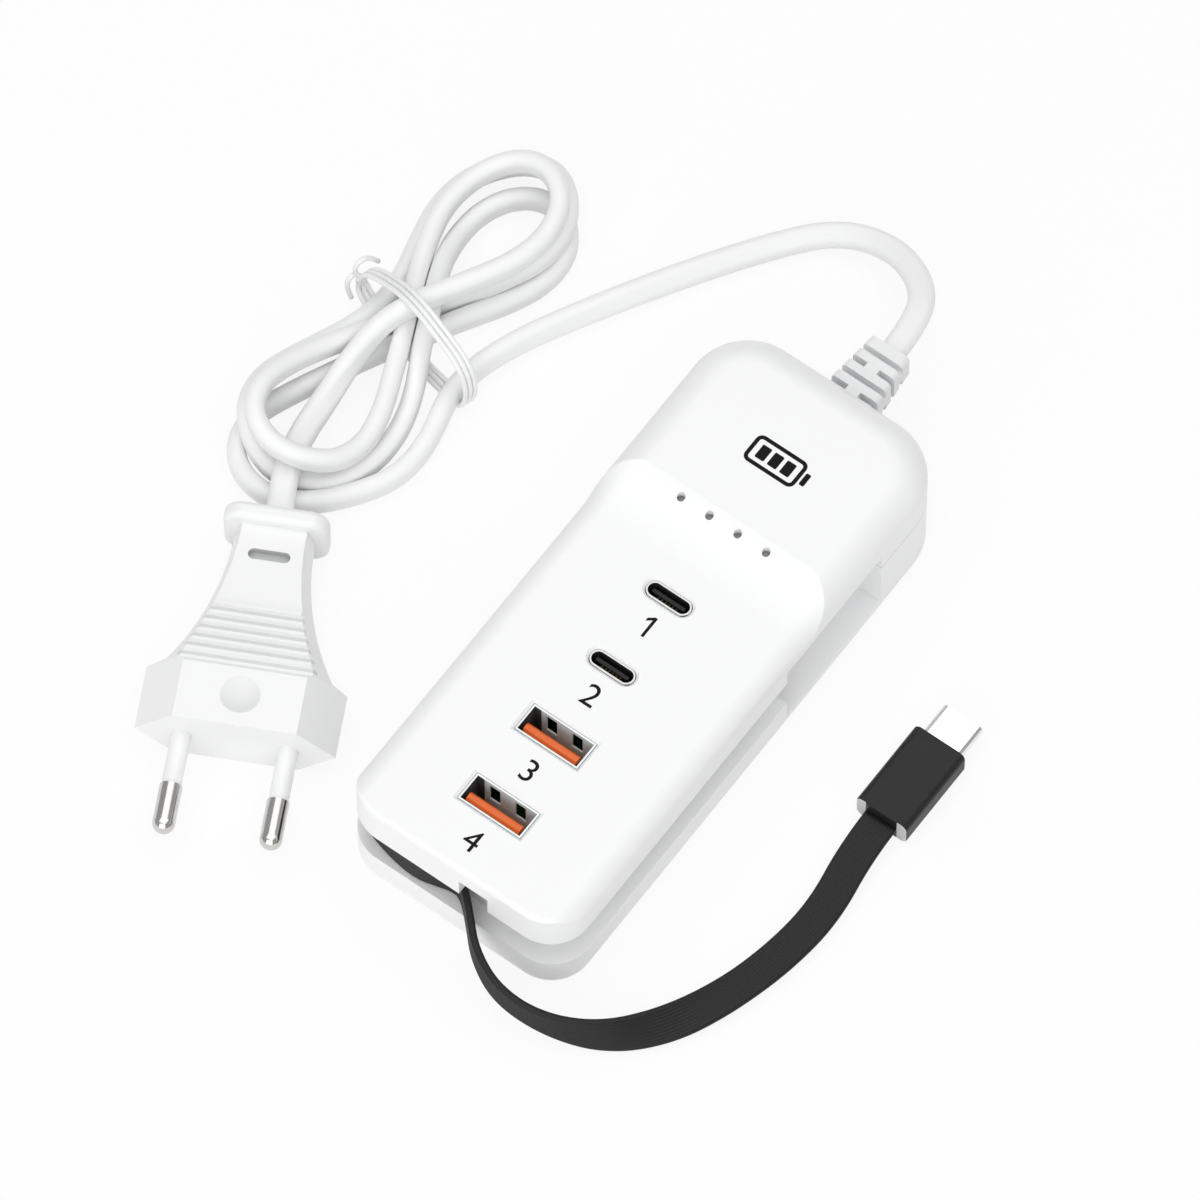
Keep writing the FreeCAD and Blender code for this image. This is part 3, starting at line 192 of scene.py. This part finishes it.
socket_steel = finish_of("socket_steel", (0.90, 0.95, 0.96), (0.86, 0.91, 0.92), grain=2 * MM, dull=0.4)
within = inner_faces(socket_steel, wide_middle_y, wide_half_depth, wide_half_width, wide_lip_z)
# Painted shade: the wide sockets' inner walls get a darker tint up towards the mouth.
painted_shade_near_lip = along(socket_steel, "Z").between(painted_shade_from_z, painted_shade_full_z)
tinted(socket_steel, within * painted_shade_near_lip, (0.66, 0.74, 0.76))
# Painted shade: the far end wall inside each wide socket is coloured black.
tinted(socket_steel, within * along(socket_steel, "X").below(end_wall_x), (0.06, 0.06, 0.061))
narrow_steel = finish_of("narrow_steel", (0.82, 0.82, 0.825), (0.76, 0.76, 0.765), grain=2 * MM, dull=0.35)
within = inner_faces(narrow_steel, narrow_middle_y, narrow_half_depth, narrow_half_width, narrow_lip_z)
# Painted shade: the narrow sockets' inner walls are coloured almost black.
tinted(narrow_steel, within, (0.03, 0.03, 0.031))
orange_tongue = finish_of(
    "orange_tongue", (0.80, 0.145, 0.016), (0.72, 0.118, 0.012), grain=4 * MM, dull=0.42)
tinted(orange_tongue, along(orange_tongue, "Z").below(tongue_base_z), (0.02, 0.02, 0.02))
black_moulding = finish_of(
    "black_moulding", (0.014, 0.014, 0.015), (0.02, 0.02, 0.021), grain=3 * MM, dull=0.5,
    Specular_IOR_Level=0.25)
gilt = finish_of("gilt", (0.75, 0.55, 0.24), (0.64, 0.46, 0.2), grain=1 * MM, dull=0.25, Metallic=1.0)
for end in ("front", "rear"):
    dress(socket_steel, "usb_a_shell_" + end)
    dress(narrow_steel, "usb_c_shell_" + end)
    dress(orange_tongue, "usb_a_tongue_" + end)
    dress(black_moulding, "usb_c_tongue_" + end)
    dress(gilt, "usb_a_contacts_" + end, "usb_c_contacts_" + end)

# Marks on the cap, pad printed in black ink: plain numerals that number the sockets from the step
# down, and a plain outline of a battery on the head.

ink_depth = 0.025 * MM
weld_distance = 0.001 * MM
tail_top = 23.5 * MM
head_top = 27.0 * MM
numeral_height = 4.3 * MM
numeral_x = 0.4 * MM
numeral_ys = (-0.55 * MM, -16.85 * MM, -34.65 * MM, -50.95 * MM)
one_outline = ((0, -0.5), (0.13, -0.5), (0.13, 0.5), (0.02, 0.5), (-0.24, 0.31), (-0.24, 0.16), (0, 0.33))
ink_black = finish_of(
    "ink_black", (0.004, 0.004, 0.0045), (0.006, 0.006, 0.0065), grain=1 * MM, dull=0.6,
    Specular_IOR_Level=0.15)


def placed(name, data):
    """New object in the scene for a mesh, a curve, a lamp or a camera."""
    made = bpy.data.objects.new(name, data)
    bpy.context.scene.collection.objects.link(made)
    return made


def mesh_of(curve):
    """Mesh that a curve or a text gives. The curve itself is used up."""
    holder = placed(curve.name, curve)
    bpy.context.view_layer.update()
    mesh = bpy.data.meshes.new_from_object(holder.evaluated_get(bpy.context.evaluated_depsgraph_get()))
    bpy.data.objects.remove(holder)
    bpy.data.curves.remove(curve)
    return mesh


def piece_from(shape, name, material):
    """Object from a finished bmesh, its faces turned outwards, in one material."""
    bmesh.ops.recalc_face_normals(shape, faces=shape.faces)
    mesh = bpy.data.meshes.new(name)
    shape.to_mesh(mesh)
    shape.free()
    mesh.materials.append(material)
    return placed(name, mesh)


def numeral(text):
    """Mesh of one numeral, its middle at the origin."""
    curve = bpy.data.curves.new("numeral", "FONT")
    curve.body = text
    curve.extrude = 1.0
    mesh = mesh_of(curve)
    low = Vector([min(vertex.co[axis] for vertex in mesh.vertices) for axis in range(3)])
    high = Vector([max(vertex.co[axis] for vertex in mesh.vertices) for axis in range(3)])
    size = numeral_height / (high.y - low.y)
    mesh.transform(Matrix.Diagonal((size, size, ink_depth, 1.0)) @ Matrix.Translation((low + high) / -2))
    return mesh


def rounded_loop(width, height, radius, corner_steps=6):
    """Points round a rectangle with rounded corners, its middle at the origin."""
    points = []
    for quarter, (side, end) in enumerate(((1, 1), (-1, 1), (-1, -1), (1, -1))):
        middle = Vector((side * (width / 2 - radius), end * (height / 2 - radius), 0))
        for step in range(corner_steps + 1):
            angle = (quarter + step / corner_steps) * math.pi / 2
            points.append(middle + Vector((math.cos(angle), math.sin(angle), 0)) * radius)
    return points


def inked_loop(ink, outer, inner, offset):
    """Thin raised shape between two loops, or inside one where inner is None."""
    rims = []
    for loop in filter(None, (outer, inner)):
        rim = []
        for level in (-ink_depth, ink_depth):
            rim.append([ink.verts.new(point + offset + Vector((0, 0, level))) for point in loop])
        rims.append(rim)
    count = len(outer)
    for low, high in rims:
        for index in range(count):
            after = (index + 1) % count
            ink.faces.new((low[index], low[after], high[after], high[index]))
    if inner:
        for level in (0, 1):
            for index in range(count):
                after = (index + 1) % count
                ink.faces.new((rims[0][level][index], rims[0][level][after],
                               rims[1][level][after], rims[1][level][index]))
    else:
        ink.faces.new(rims[0][0])
        ink.faces.new(rims[0][1])


def printed(name, ink):
    """Finishes a mark's mesh and fixes it to the cap."""
    bmesh.ops.remove_doubles(ink, verts=ink.verts, dist=weld_distance)
    mark = piece_from(ink, name, ink_black)
    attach(mark, "root")


numerals = bmesh.new()
inked_loop(numerals, [Vector((*point, 0)) * numeral_height for point in one_outline], None,
           Vector((numeral_x, numeral_ys[0], tail_top)))
for count, y in enumerate(numeral_ys[1:], 2):
    shape = numeral(str(count))
    shape.transform(Matrix.Translation((numeral_x, y, tail_top)))
    numerals.from_mesh(shape)
    bpy.data.meshes.remove(shape)
printed("port_numerals", numerals)

battery_width = 10.6 * MM
battery_height = 5.8 * MM
battery_line = 0.75 * MM
battery_radius = 1.3 * MM
battery_at = Vector((0.3 * MM, 36.6 * MM, head_top))
terminal_width = 1.0 * MM
terminal_height = 2.6 * MM
terminal_radius = 0.3 * MM
terminal_x = battery_width / 2 + 0.9 * terminal_width
bar_width = 1.9 * MM
bar_height = battery_height - 4 * battery_line
bar_radius = 0.25 * MM
bar_pitch = 2.6 * MM
battery = bmesh.new()
inked_loop(battery, rounded_loop(battery_width, battery_height, battery_radius),
           rounded_loop(battery_width - 2 * battery_line, battery_height - 2 * battery_line,
                        battery_radius - battery_line), battery_at)
inked_loop(battery, rounded_loop(terminal_width, terminal_height, terminal_radius), None,
           battery_at + Vector((terminal_x, 0, 0)))
for place in (-1, 0, 1):
    inked_loop(battery, rounded_loop(bar_width, bar_height, bar_radius), None,
               battery_at + Vector((place * bar_pitch, 0, 0)))
printed("battery_mark", battery)

# Indicator lights: a smoked clear comb stuck under the cap, whose four rods show in the step,
# over small clear lamps that are soldered to the board.

smoked_clear = finish_of(
    "smoked_clear", (0.16, 0.16, 0.165), (0.24, 0.24, 0.245), grain=1 * MM, dull=0.25, IOR=1.49)
dress(smoked_clear, "light_guide")
lamp_clear = finish_of("lamp_clear", (0.8, 0.78, 0.55), (0.7, 0.68, 0.45), grain=0.8 * MM, dull=0.25)
dress(lamp_clear, "indicator_leds")

# Power parts inside, on a green board: ferrite, taped coil, sleeved cans, fuse, choke and switch.
# Each has the plain finish of the real part, with the small colour changes that handling leaves.

inner_grain = 2 * MM
inner_finishes = (
    ("board_green", (0.018, 0.12, 0.035), (0.014, 0.09, 0.028), 0.35, 0.0, ("main_board",)),
    ("screw_steel", (0.55, 0.55, 0.56), (0.42, 0.42, 0.43), 0.3, 1.0, ("board_screws",)),
    ("ferrite_grey", (0.03, 0.03, 0.032), (0.05, 0.05, 0.052), 0.6, 0.0,
     ("transformer_core", "choke_core")),
    ("former_black", (0.012, 0.012, 0.013), (0.02, 0.02, 0.02), 0.5, 0.0,
     ("coil_former", "bridge_rectifier", "controller_chips", "power_switch")),
    ("coil_tape", (0.72, 0.45, 0.02), (0.62, 0.38, 0.02), 0.35, 0.0, ("coil_winding",)),
    ("can_sleeve", (0.02, 0.025, 0.06), (0.03, 0.035, 0.08), 0.4, 0.0,
     ("storage_capacitors", "filter_capacitors")),
    ("film_yellow", (0.62, 0.44, 0.03), (0.55, 0.38, 0.03), 0.45, 0.0, ("film_capacitor",)),
    ("enamel_copper", (0.55, 0.2, 0.07), (0.45, 0.15, 0.05), 0.3, 1.0, ("choke_winding",)),
    ("fuse_ceramic", (0.72, 0.69, 0.62), (0.65, 0.62, 0.55), 0.4, 0.0, ("mains_fuse",)),
    ("dipped_blue", (0.02, 0.07, 0.28), (0.02, 0.06, 0.22), 0.35, 0.0, ("disc_capacitor",)),
    ("sink_alloy", (0.7, 0.7, 0.71), (0.6, 0.6, 0.61), 0.4, 1.0, ("heat_sink",)),
    ("core_blue", (0.03, 0.09, 0.36), (0.025, 0.08, 0.3), 0.45, 0.0, ("lead_cores",)),
)
for name, colour, second, dull, metal, dressed in inner_finishes:
    dress(finish_of(name, colour, second, inner_grain, dull, Metallic=metal), *dressed)

# Strain relief: a soft white boot moulded on the lead, cut by crossed slots so that it bends.
# Its neck fills the hole between the two shells, and a flange inside keeps it from pulling out.


def roughened(material, grain, strength, depth):
    """Fine bump all over a finish."""
    height = speckle(material, grain)
    bump = height.add("ShaderNodeBump", {"Height": height, "Strength": strength, "Distance": depth})
    bump.feed(shader_of(material)["Normal"])


boot_white = finish_of(
    "boot_white", (0.86, 0.865, 0.87), (0.82, 0.827, 0.835), grain=8 * MM, dull=0.46, IOR=1.48)
roughened(boot_white, grain=0.6 * MM, strength=0.08, depth=0.03 * MM)
dress(boot_white, "strain_relief")

# Mains lead: flat two-core cord in a soft white sheath, tied in a figure of eight beside the charger.
# It leaves the boot flat, turns on its edge in the loops, and comes flat again at the plug.

lead_width = 4.8 * MM
lead_thickness = 3.6 * MM
lead_waist = 0.16 * MM
lead_waist_reach = 0.7 * MM
lead_parting = 3
lead_rises = (0.03, 0.19)
lead_flattens = (0.93, 0.985)
lead_run = (
    (0, 69.5, 13), (0, 79.5, 13), (-4.5, 87, 10.2), (-14, 91.5, 6.2), (-24.5, 89.5, 3.4),
    (-32.5, 80.5, 2.5), (-41.5, 67, 2.4), (-50.5, 51.5, 2.6), (-57.6, 37, 3.4), (-60.4, 25, 3.6),
    (-57.4, 14.5, 3.0), (-57.6, 6.5, 2.4), (-61, -0.2, 2.4))
floor_turn = (
    (-66.5, -7, 2.4), (-72.5, -10.4, 2.4), (-79, -10.2, 2.4), (-84.2, -6.4, 2.4), (-85.4, 0.4, 2.4),
    (-82.6, 7.8, 2.4), (-79, 15.4, 2.4), (-75, 23.6, 2.4), (-70.7, 30.8, 2.4), (-67, 37.6, 2.4),
    (-62.6, 44.6, 2.4), (-59.8, 51.4, 2.4), (-59.8, 57.6, 2.4), (-62.2, 62.2, 2.4), (-66.6, 64.8, 2.4),
    (-71.4, 64, 2.4), (-75.2, 60.4, 2.4), (-77.2, 55.4, 2.4), (-77.4, 50, 2.8), (-76.2, 44.6, 4.8),
    (-73.6, 38.4, 7.2))
middle_turn = (
    (-70.6, 32.4, 7.2), (-68, 26.4, 6.8), (-64.8, 20, 3.4), (-62.8, 13, 2.4), (-62.8, 5.6, 2.4),
    (-65.4, -1, 2.4), (-70.4, -5.2, 2.4), (-76.2, -6.4, 3.4), (-81.6, -5, 7), (-85.8, -0.8, 7.6),
    (-87.2, 5.4, 6.6), (-86.6, 12.2, 3.4), (-84.2, 18.6, 2.4), (-81.4, 25.2, 2.4), (-80, 32, 2.4),
    (-80.6, 38.6, 2.4), (-82.4, 45.2, 2.4), (-83.8, 52, 2.4), (-83.2, 59, 2.4), (-80, 65, 2.6),
    (-75, 68.6, 4.2), (-69, 68.2, 7), (-64, 64.8, 7.4), (-61.4, 59.4, 7.2), (-61.4, 52.6, 7.2),
    (-64.8, 46.2, 6.6), (-69.6, 40.2, 3.4))
top_turn = (
    (-73.8, 34.2, 2.4), (-76.8, 28.6, 2.4), (-79.2, 22.4, 5.8), (-82, 16, 7.6), (-84, 9.4, 10),
    (-84.8, 2.6, 12.2), (-82.4, -3, 12.4), (-77, -5.6, 11.6), (-71, -4.8, 11), (-66.2, -0.8, 8.6),
    (-64.6, 5.6, 7.2), (-66, 12.6, 7.4), (-68.8, 19.4, 8), (-71.4, 25.4, 7.8), (-74.2, 31.4, 7.2),
    (-77.4, 38.2, 7.2), (-80, 45, 7.2), (-81.6, 52, 7.2), (-80.6, 59, 7.4), (-77.2, 64.4, 8.8),
    (-72, 66.4, 11), (-66.6, 64.8, 12.2), (-62.8, 60, 12), (-62, 53, 12), (-64, 46.2, 12),
    (-67.8, 39.4, 12))
plug_strand = (
    (-72, 32.2, 12), (-75.2, 25, 11.6), (-76.4, 17, 7.4), (-76, 9, 5.2), (-75, 1, 6), (-73.2, -5.4, 6.6),
    (-70.6, -10.4, 6.85), (-67.4, -15.8, 6.85))


def smooth_line(name, route, resolution):
    """Points of a smooth line through space, read from a spline whose control points are in mm."""
    curve = bpy.data.curves.new(name, "CURVE")
    curve.dimensions = "3D"
    spline = curve.splines.new("NURBS")
    spline.points.add(len(route) - 1)
    for point, place in zip(spline.points, route):
        point.co = (*(Vector(place) * MM), 1.0)
    spline.order_u = 3
    spline.use_endpoint_u = True
    spline.resolution_u = resolution
    mesh = mesh_of(curve)
    line = [vertex.co.copy() for vertex in mesh.vertices]
    bpy.data.meshes.remove(mesh)
    return line


def swept(name, line, outline, lean, material):
    """Closed tube along a line. Its outline, in (aside, up) pairs, is turned by lean along the way."""
    tube = bmesh.new()
    rings = []
    steps = [(after - before).length for before, after in zip(line, line[1:])]
    run = 0.0
    for index, point in enumerate(line):
        before = line[max(index - 1, 0)]
        after = line[min(index + 1, len(line) - 1)]
        heading = (after - before).normalized()
        aside = heading.cross(Vector((0, 0, 1))).normalized()
        up = aside.cross(heading)
        turn = Matrix.Rotation(lean(run / sum(steps)), 3, heading)
        aside = turn @ aside
        up = turn @ up
        rings.append([tube.verts.new(point + aside * across + up * high) for across, high in outline])
        run += steps[min(index, len(steps) - 1)]
    for ring, following in zip(rings, rings[1:]):
        for corner in range(len(ring)):
            beside = (corner + 1) % len(ring)
            tube.faces.new((ring[corner], ring[beside], following[beside], following[corner]))
    tube.faces.new(rings[0][::-1])
    tube.faces.new(rings[-1])
    piece = piece_from(tube, name, material)
    piece.data.shade_smooth()
    return piece


def eased(value, low, high):
    """0 below low, 1 above high, and a soft change between."""
    part = min(max((value - low) / (high - low), 0.0), 1.0)
    return part * part * (3 - 2 * part)


def two_core_outline(corners=28):
    """Flat cord on its edge: two round cores under one skin, with a shallow waist between them."""
    radius = lead_thickness / 2
    reach = lead_width / 2 - radius
    outline = []
    for index in range(corners):
        angle = 2 * math.pi * index / corners
        rise = math.sin(angle)
        high = rise * radius + math.copysign(reach, rise) * min(1.0, abs(rise) * lead_parting)
        sunk = lead_waist * math.exp(-(high / lead_waist_reach) ** 2)
        outline.append((math.cos(angle) * radius - math.copysign(sunk, math.cos(angle)), high))
    return outline


def lead_lean(part):
    """Quarter turn where the lead is flat, none where it stands on its edge."""
    return (math.pi / 2) * (1 - eased(part, *lead_rises) + eased(part, *lead_flattens))


sheath_white = finish_of(
    "sheath_white", (0.92, 0.922, 0.925), (0.89, 0.893, 0.897), grain=12 * MM, dull=0.42, IOR=1.47)
roughened(sheath_white, grain=0.9 * MM, strength=0.05, depth=0.03 * MM)
lead_route = lead_run + floor_turn + middle_turn + top_turn + plug_strand
lead_line = smooth_line("lead_line", lead_route, resolution=6)
mains_cord = swept("mains_cord", lead_line, two_core_outline(), lead_lean, sheath_white)
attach(mains_cord, "root")
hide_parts("mains_lead", "mains_lead_hank")

# Tie: one length of white coated wire, wound three times round the waist of the hank.
# Its two ends are twisted together at the left, and curl away from the knot.

tie_wire = 0.95 * MM
tie_turns = 3
tie_pitch = 1.0
tie_middle = Vector((-70.2, 29.6, 0))
tie_across = Vector((0.95, -0.31, 0)).normalized()
tie_beside = Vector((0, 0, 1)).cross(tie_across)
tie_ring = (
    (-15.4, -1.6, 4.2), (-14.4, -0.5, 7.8), (-9, 0, 11.6), (-2, 0, 15.6), (6, 0, 15), (12.6, 0, 13.8),
    (15.4, -0.3, 9), (14.6, -0.9, 2), (10.5, -1.3, 0.6), (3.6, -2.3, 0.6), (-5, -2.7, 0.6),
    (-11.6, -2.8, 0.6), (-15.4, -2.5, 1.8))
curling_end = (
    (-15.7, 1.8, 6.2), (-15.8, 0.4, 9), (-15.9, -1.6, 10.2), (-15.9, -3.1, 8.8), (-15.5, -2.9, 6.4),
    (-15.1, -2.2, 5.2))
falling_end = (
    (-15.5, -1.9, 4.9), (-15.9, -2.8, 6.2), (-15.8, -4.0, 6.8), (-15.7, -4.8, 5.6), (-15.5, -4.9, 3),
    (-15, -4.5, 0.8))


def tie_point(across, beside, up):
    """Place on the tie, in mm, from its own directions across and along the hank."""
    return tie_middle + tie_across * across + tie_beside * beside + Vector((0, 0, up))


def round_outline(diameter, corners=12):
    """Round section of a wire."""
    turn = 2 * math.pi / corners
    return [(math.cos(index * turn) * diameter / 2, math.sin(index * turn) * diameter / 2)
            for index in range(corners)]


tie_route = [tie_point(*place) for place in curling_end]
for count in range(tie_turns):
    for index, (across, beside, up) in enumerate(tie_ring):
        shift = (count + index / len(tie_ring) - tie_turns / 2) * tie_pitch
        tie_route.append(tie_point(across, beside + shift, up))
tie_route += [tie_point(*place) for place in falling_end]
coated_wire = finish_of("coated_wire", (0.92, 0.922, 0.925), (0.88, 0.884, 0.89), grain=5 * MM, dull=0.32)
tie_line = smooth_line("tie_line", tie_route, resolution=5)
wire_tie = swept("wire_tie", tie_line, round_outline(tie_wire), lambda part: 0.0, coated_wire)
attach(wire_tie, "root")
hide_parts("lead_tie")

# Mains plug: flat two-pin plug moulded in white on the lead, with plated pins in white sleeves.
# The lead's cord goes into its collar.

plug_x = -67.8 * MM
plug_y = -15.0 * MM
heading_x = 0.45
heading_y = -0.893
first_rib = 19.4 * MM
last_rib = 30.8 * MM
rib_pitch = 1.9 * MM
rib_share = 0.62
grip_z = 11.9 * MM
dimple_run = 37.3 * MM
dimple_radius = 3.5 * MM
slot_run = 9.2 * MM
slot_half = 1.15 * MM
slot_reach = 3.9 * MM
slot_floor_z = 9.8 * MM
slot_edge_z = 11.45 * MM
plug_white = finish_of(
    "plug_white", (0.90, 0.903, 0.906), (0.88, 0.884, 0.888), grain=20 * MM, dull=0.36, gloss_spread=0.03)
from_x = along(plug_white, "X") - plug_x
from_y = along(plug_white, "Y") - plug_y
height = along(plug_white, "Z")
run = heading_x * from_x + heading_y * from_y
aside = heading_x * from_y - heading_y * from_x
# Painted shade: grey in the grooves between the grip ribs on the plug's top.
in_pitch = ((run - first_rib) * (1 / rib_pitch)).math("FRACT")
painted_shade_grooves = in_pitch.above(rib_share) * run.above(first_rib) * run.below(last_rib)
tinted(plug_white, painted_shade_grooves * height.above(grip_z), (0.66, 0.665, 0.67))
# Painted shade: grey inside the round dimple on the plug's top.
from_dimple = ((run - dimple_run) * (run - dimple_run) + aside * aside).math("SQRT")
tinted(plug_white, from_dimple.below(dimple_radius) * height.above(grip_z), (0.80, 0.804, 0.808))
# Painted shade: grey on the walls inside the flex slot in the plug's neck.
painted_shade_slot = abs(run - slot_run).below(slot_half) * abs(aside).below(slot_reach)
painted_shade_slot = painted_shade_slot * height.above(slot_floor_z) * height.below(slot_edge_z)
tinted(plug_white, painted_shade_slot, (0.58, 0.584, 0.588))
dress(plug_white, "plug_body", "pin_sleeves")
pin_plating = finish_of(
    "pin_plating", (0.70, 0.69, 0.67), (0.58, 0.57, 0.55), grain=2 * MM, dull=0.16, Metallic=1.0)
dress(pin_plating, "plug_pins")

# Flat charging cable: a thin black ribbon with fine lengthwise ribs, pressed on its edge into the groove.
# It comes out at the front notch, and turns over to lie flat on its way to the small plug.

ribbon_width = 6.5 * MM
ribbon_thickness = 1.4 * MM
ribbon_ribs = 9
rib_depth = 0.07 * MM
ribbon_turns = (0.56, 0.80)
ribbon_route = (
    (-20.7, 8.3, 11), (-20.7, -20, 11), (-20.7, -46, 11), (-20.6, -53, 11), (-16, -54.6, 11),
    (-11.5, -55.6, 11), (-7.5, -55.9, 11), (-4, -55, 11), (-1.6, -54.3, 11), (0.9, -54.4, 11),
    (4.5, -57.6, 10.6), (9.5, -62.6, 8.8), (16.4, -65.2, 6), (25.4, -64.2, 4.1), (34.6, -60, 3.5),
    (41.6, -51.8, 2.7), (46.2, -41.4, 2.0), (49.2, -29.8, 1.6), (50.4, -18, 1.7), (48.4, -5.4, 2.6),
    (48.4, 2, 2.9))


def ribbon_outline(steps=54, edge_steps=8):
    """Strip on its edge: rounded edges, and wide faces with shallow ribs."""
    half = ribbon_thickness / 2
    straight = ribbon_width / 2 - half
    one_side = []
    for step in range(steps + 1):
        high = straight * (2 * step / steps - 1)
        rib = 0.5 - 0.5 * math.cos(2 * math.pi * ribbon_ribs * step / steps)
        one_side.append((half - rib_depth * rib, high))
    for step in range(1, edge_steps):
        angle = math.pi * step / edge_steps
        one_side.append((half * math.cos(angle), straight + half * math.sin(angle)))
    return one_side + [(-across, -high) for across, high in one_side]


def ribbon_lean(part):
    """On edge in the groove, then a quarter turn inwards along the free bend."""
    return -(math.pi / 2) * eased(part, *ribbon_turns)


cable_black = finish_of(
    "cable_black", (0.009, 0.009, 0.0095), (0.012, 0.012, 0.0125), grain=6 * MM, dull=0.5,
    Specular_IOR_Level=0.32)
roughened(cable_black, grain=0.5 * MM, strength=0.1, depth=0.03 * MM)
ribbon_line = smooth_line("ribbon_line", ribbon_route, resolution=10)
flat_cable = swept("flat_cable", ribbon_line, ribbon_outline(), ribbon_lean, cable_black)
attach(flat_cable, "root")
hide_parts("cable_in_groove", "cable_free")

# Small plug on the flat cable: a black satin sleeve over a pale moulded core that shows at the rear
# on both sides of the cable, a bright drawn steel shell, and a black insulator inside it.

sleeve_rear_y = 1.62 * MM
sleeve_x = 48.4 * MM
overmould_black = finish_of(
    "overmould_black", (0.014, 0.014, 0.0145), (0.018, 0.018, 0.0185), grain=4 * MM, dull=0.42,
    Specular_IOR_Level=0.25)
beside_cable = abs(along(overmould_black, "X") - sleeve_x).above(ribbon_width / 2)
pale_core = along(overmould_black, "Y").below(sleeve_rear_y) * beside_cable
tinted(overmould_black, pale_core, (0.55, 0.55, 0.56))
dress(overmould_black, "usb_plug_overmould")
bright_steel = finish_of(
    "bright_steel", (0.86, 0.86, 0.87), (0.80, 0.80, 0.81), grain=2 * MM, dull=0.18, Metallic=1.0)
dress(bright_steel, "usb_plug_shell")
dress(black_moulding, "usb_plug_insert")

# Floor, light and camera: a white table top that keeps a faint shadow, one broad soft lamp overhead
# and a weaker one low in front in a pale room, and a long lens at the photograph's angle.

floor_half = 3.0
floor_glow = 0.87
floor_corners = [(-floor_half, -floor_half, 0), (floor_half, -floor_half, 0),
                 (floor_half, floor_half, 0), (-floor_half, floor_half, 0)]
floor_mesh = bpy.data.meshes.new("floor")
floor_mesh.from_pydata(floor_corners, [], [(0, 1, 2, 3)])
floor_white = bpy.data.materials.new("floor_white")
floor_white.use_nodes = True
floor_nodes = floor_white.node_tree.nodes
floor_nodes.remove(floor_nodes["Principled BSDF"])
start = Shade(floor_white.node_tree)
rays = ("Camera", "Glossy", "Transmission")
seen = [start.add("ShaderNodeLightPath", {}, out="Is " + ray + " Ray") for ray in rays]
plain = start.add("ShaderNodeBsdfDiffuse", {"Color": (0.9, 0.9, 0.9)})
glow = start.add("ShaderNodeEmission", {"Color": (1, 1, 1), "Strength": 1.0})
shown = (seen[0] + seen[1] + seen[2]).math("MINIMUM", 1.0) * floor_glow
surface = start.add("ShaderNodeMixShader", {0: shown, 1: plain, 2: glow})
surface.feed(floor_nodes["Material Output"].inputs["Surface"])
floor_mesh.materials.append(floor_white)
floor = placed("floor", floor_mesh)

room_level = 0.42
world = bpy.data.worlds.new("studio")
world.use_nodes = True
world.node_tree.nodes["Background"].inputs["Color"].default_value = (1, 1, 1, 1)
world.node_tree.nodes["Background"].inputs["Strength"].default_value = room_level
bpy.context.scene.world = world
bpy.context.scene.view_settings.view_transform = "Standard"


def direction(azimuth, elevation):
    """Unit vector from the middle of the scene, from an angle round and an angle up in degrees."""
    round_angle = math.radians(azimuth)
    up_angle = math.radians(elevation)
    return Vector((math.sin(round_angle) * math.cos(up_angle), -math.cos(round_angle) * math.cos(up_angle),
                   math.sin(up_angle)))


def soft_lamp(name, away, distance, size, power):
    """Square area lamp that looks at the middle of the scene."""
    data = bpy.data.lights.new(name, "AREA")
    data.size = size
    data.energy = power
    lamp = placed(name, data)
    lamp.location = away * distance
    lamp.rotation_euler = away.to_track_quat("Z", "Y").to_euler()


soft_lamp("overhead", direction(0, 90), distance=1.1, size=1.6, power=9.7)
soft_lamp("fill", direction(18, 20), distance=1.3, size=1.4, power=8.0)

view_from = direction(36.3, 63.1)
view_width = 0.205
lens = 500.0
film = 36.0
view_reach = 20.0
aim = Vector((-9.2, -1.3, 23.5)) * MM
camera_data = bpy.data.cameras.new("camera")
camera_data.lens = lens
camera_data.sensor_width = film
camera_data.clip_end = view_reach
camera = placed("camera", camera_data)
camera.location = aim + view_from * (view_width * lens / film)
camera.rotation_euler = view_from.to_track_quat("Z", "Y").to_euler()
bpy.context.scene.camera = camera
